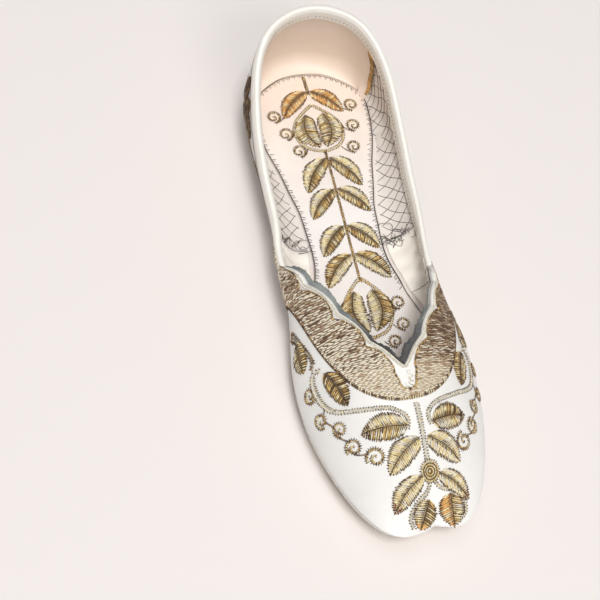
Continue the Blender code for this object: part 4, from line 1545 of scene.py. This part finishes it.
def quarter_embroidery():
    """Dark border under the binding, a waving stem, and leaves that grow darker towards the heel, which is
    painted shade.
    """
    yarn = Yarn("quarter_embroidery", GOLD)
    wall_rope(yarn, spread(float(q_at_y(11.0)), 0.998, 150), 6.6, 1.0, {BROWN: 4, DEEP: 1})
    q = spread(float(q_at_y(8.0)), float(q_at_y(100.0)), 120)
    wave = 17.5 + 3.4 * np.sin(np.linspace(0, 5.2 * math.pi, len(q)))
    wall_rope(yarn, q, wave, 1.1, {CREAM: 2, MID: 1})
    for shift in (-0.9, 0.9):
        wall_rope(yarn, q, wave + shift, 0.8, {BROWN: 1})
    for side in SIDES:
        for y, depth, length, width, tilt, halves in QUARTER_LEAVES:
            a = math.radians(tilt)
            d = np.array([math.cos(a), -side * math.sin(a)]) * length / 2
            leaf(yarn, side_ground(y, depth, side), -d, d, width, halves[::side], 0.08 * side)
        for y, depth in QUARTER_SPIRALS:
            spiral(yarn, side_ground(y, depth, side), (0, 0), 3.7, 60, side)
    yarn.build()


quarter_embroidery()


# ---------------- inside the throat
FACING_T, LOOSE_THREAD = 0.35, 0.24


def throat_interlining_shade(side, reach):
    """Grey raw-edged interlining that shows under the scalloped edge, reach mm wide along it; its grey is
    partly painted shade under the edge.
    """
    e, out = throat_edge(160)
    s = np.linspace(0, 1, len(e))
    rag = 0.3 * np.sin(s * 37) + 0.12 * np.sin(s * 143 + 1) + RNG.normal(0, 0.14, len(s))
    wide = np.maximum(np.interp(s, np.linspace(0, 1, len(reach)), reach) + rag, 0.1)
    p, n = on_last(*e.T)
    inward = np.concatenate([-out, 0 * out[:, :1]], 1)
    inward = unit(inward - n * (inward * n).sum(-1, keepdims=True))
    f = np.linspace(0, 1, 7)[:, None, None]
    droop = np.array([0, 0, -1.6]) * f ** 2
    rows = p - n * (1.5 + 0.5 * f) + inward * (-1.2 + (wide[:, None] + 1.2) * f) + droop
    rows[..., 0] = np.maximum(rows[..., 0], 0.0)
    sheet("throat_interlining_shade", rows, np.broadcast_to(n, rows.shape), 0.3, INTERLINING_WITH_SHADE, side)


def facing(name, y0, y1, side, lift, wave, tangle):
    """Plain leather facing laid over the front of the quarter lining, a little rumpled."""
    y = np.linspace(y0, y1, 40)
    rows, norms = [], []
    for f in np.linspace(0.06, 0.93, 26):
        p, n = lining_point(y, lining_depth(y) * f, lift + FACING_T)
        ripple = wave * np.sin(y * 0.9 + 3.1 * f) * math.sin(math.pi * f) ** 0.7
        rows.append(p + n * (0.5 * wave + ripple)[:, None])
        norms.append(n)
    rows, norms = np.array(rows), np.array(norms)
    sheet(name, rows, norms, FACING_T, FACING, side)
    line, n = on_side(side, rows[:, -1]), on_side(side, norms[:, -1])
    tangle.cord(line + n * 0.1 + RNG.normal(0, 0.12, line.shape), n, LOOSE_THREAD, 0)


def lining_tangle(tangle, side, y0, num):
    """A small tangle of dark thread where the lattice stitching ends."""
    k = np.linspace(0, 1, 14)
    for _ in range(num):
        y, depth, bend = y0 + RNG.normal(0, 1.6), RNG.uniform(4, 24), RNG.normal(0, 2.2, 4)
        y = y + bend[0] * np.sin(k * 3) + bend[1] * k
        depth = depth + 5.5 * k + bend[2] * np.sin(k * 4)
        p, n = lining_point(y, np.clip(depth, 1, 30), 0.5)
        p = p + n * (1.2 * np.abs(np.sin(k * 3 + bend[3])))[:, None]
        tangle.cord(on_side(side, p), on_side(side, n), LOOSE_THREAD, 0)


def throat_tangle(tangle):
    """Thread ends that hang from the left scallops into the throat."""
    e, _ = throat_edge(160)
    k = np.linspace(0, 1, 5)[:, None]
    for _ in range(46):
        x, y = e[int(RNG.uniform(22, 92))]
        p, n = VAMP.at([(-(x - 1.0 + RNG.normal(0, 0.5)), y + RNG.normal(0, 0.5))])
        tip = np.array([2.4, 1.9, -4.2]) * RNG.uniform(0.5, 1.0) + RNG.normal(0, 0.4, 3)
        line = (p + np.array([0.9, 0.6, -2.2])) * (1 - k) + (p + tip) * k
        if not np.isnan(line).any():
            tangle.cord(line, np.broadcast_to(n, line.shape), 0.34, 0)


def throat_inside():
    """Interlining (its grey partly painted shade), facings and loose threads inside the V."""
    throat_interlining_shade(1, (3.0, 3.2, 2.2, 1.0, 0.8, 0.2))
    throat_interlining_shade(-1, (3.0, 2.8, 2.0, 2.2, 3.4, 1.2))
    tangle = Yarn("loose_threads", [DARK])
    facing("front_facing", -38.0, -11.0, 1, 0.7, 0.15, tangle)
    facing("middle_facing", -14.0, LATTICE_FRONT - 0.5, 1, 0.1, 0.45, tangle)
    facing("front_facing", -34.0, LATTICE_FRONT - 0.5, -1, 0.1, 0.6, tangle)
    lining_tangle(tangle, 1, LATTICE_FRONT, 22)
    lining_tangle(tangle, -1, LATTICE_FRONT + 1, 12)
    throat_tangle(tangle)
    tangle.build()


throat_inside()

# ---------------- floor, light and camera
LAMPS = (  # name, place, size, power
    ("key", (-0.15, -0.65, 2.8), 0.8, 43.0), ("top", (-0.2, 0.5, 2.8), 1.6, 11.0),
    ("front", (0.35, -1.9, 2.1), 1.4, 19.0), ("fill", (-1.6, -0.6, 2.0), 1.2, 3.0),
)
AIM = Vector((0, 0, 0.02))


def link(ob):
    """The same object, put into the scene."""
    bpy.context.scene.collection.objects.link(ob)
    return ob


def floor():
    """A pale floor, just under the tread."""
    mat = bpy.data.materials.new("pale floor")
    mat.use_nodes = True
    bsdf = mat.node_tree.nodes["Principled BSDF"]
    bsdf.inputs["Base Color"].default_value = srgb(238, 232, 229)
    bsdf.inputs["Roughness"].default_value = 0.9
    bsdf.inputs["Specular IOR Level"].default_value = 0.1
    me = bpy.data.meshes.new("floor")
    r = 4.0
    me.from_pydata([(-r, -r, 0), (r, -r, 0), (r, r, 0), (-r, r, 0)], [], [(0, 1, 2, 3)])
    me.materials.append(mat)
    ob = link(bpy.data.objects.new("floor", me))
    ob.location.z = -0.0004


def lamps():
    """Soft daylight from above, a little from the front and left."""
    for name, place, size, power in LAMPS:
        lamp = bpy.data.lights.new(name, "AREA")
        lamp.shape, lamp.size, lamp.energy, lamp.color = "DISK", size, power, (1.0, 0.99, 0.975)
        ob = link(bpy.data.objects.new(name, lamp))
        ob.location = place
        ob.rotation_euler = (AIM - Vector(place)).to_track_quat("-Z", "Y").to_euler()


def world():
    w = bpy.data.worlds.new("studio")
    w.use_nodes = True
    background = w.node_tree.nodes["Background"]
    background.inputs["Color"].default_value = (1.0, 0.99, 0.98, 1.0)
    background.inputs["Strength"].default_value = 0.22
    bpy.context.scene.world = w


def camera():
    """The photograph's view: toe towards the lower right, looking down at 60 degrees, rolled."""
    azimuth, elevation, roll = (math.radians(a) for a in (-35.4, 60.22, 23.49))
    distance = 0.49945
    back = Vector((math.sin(azimuth) * math.cos(elevation), -math.cos(azimuth) * math.cos(elevation),
                   math.sin(elevation)))
    right = (-back).cross(Vector((0, 0, 1))).normalized()
    up = right.cross(-back)
    across = right * math.cos(roll) + up * math.sin(roll)
    rising = up * math.cos(roll) - right * math.sin(roll)
    cam = bpy.data.cameras.new("camera")
    cam.sensor_width, cam.lens = 36.0, 65.1024
    cam.shift_x, cam.shift_y = -0.0975833333, -0.05805
    cam.clip_start, cam.clip_end = 0.01, 20
    ob = link(bpy.data.objects.new("camera", cam))
    view = Matrix((across, rising, back)).transposed().to_4x4()
    view.translation = AIM + back * distance
    ob.matrix_world = view
    bpy.context.scene.camera = ob


floor()
world()
lamps()
camera()
bpy.context.scene.view_settings.view_transform = "Standard"
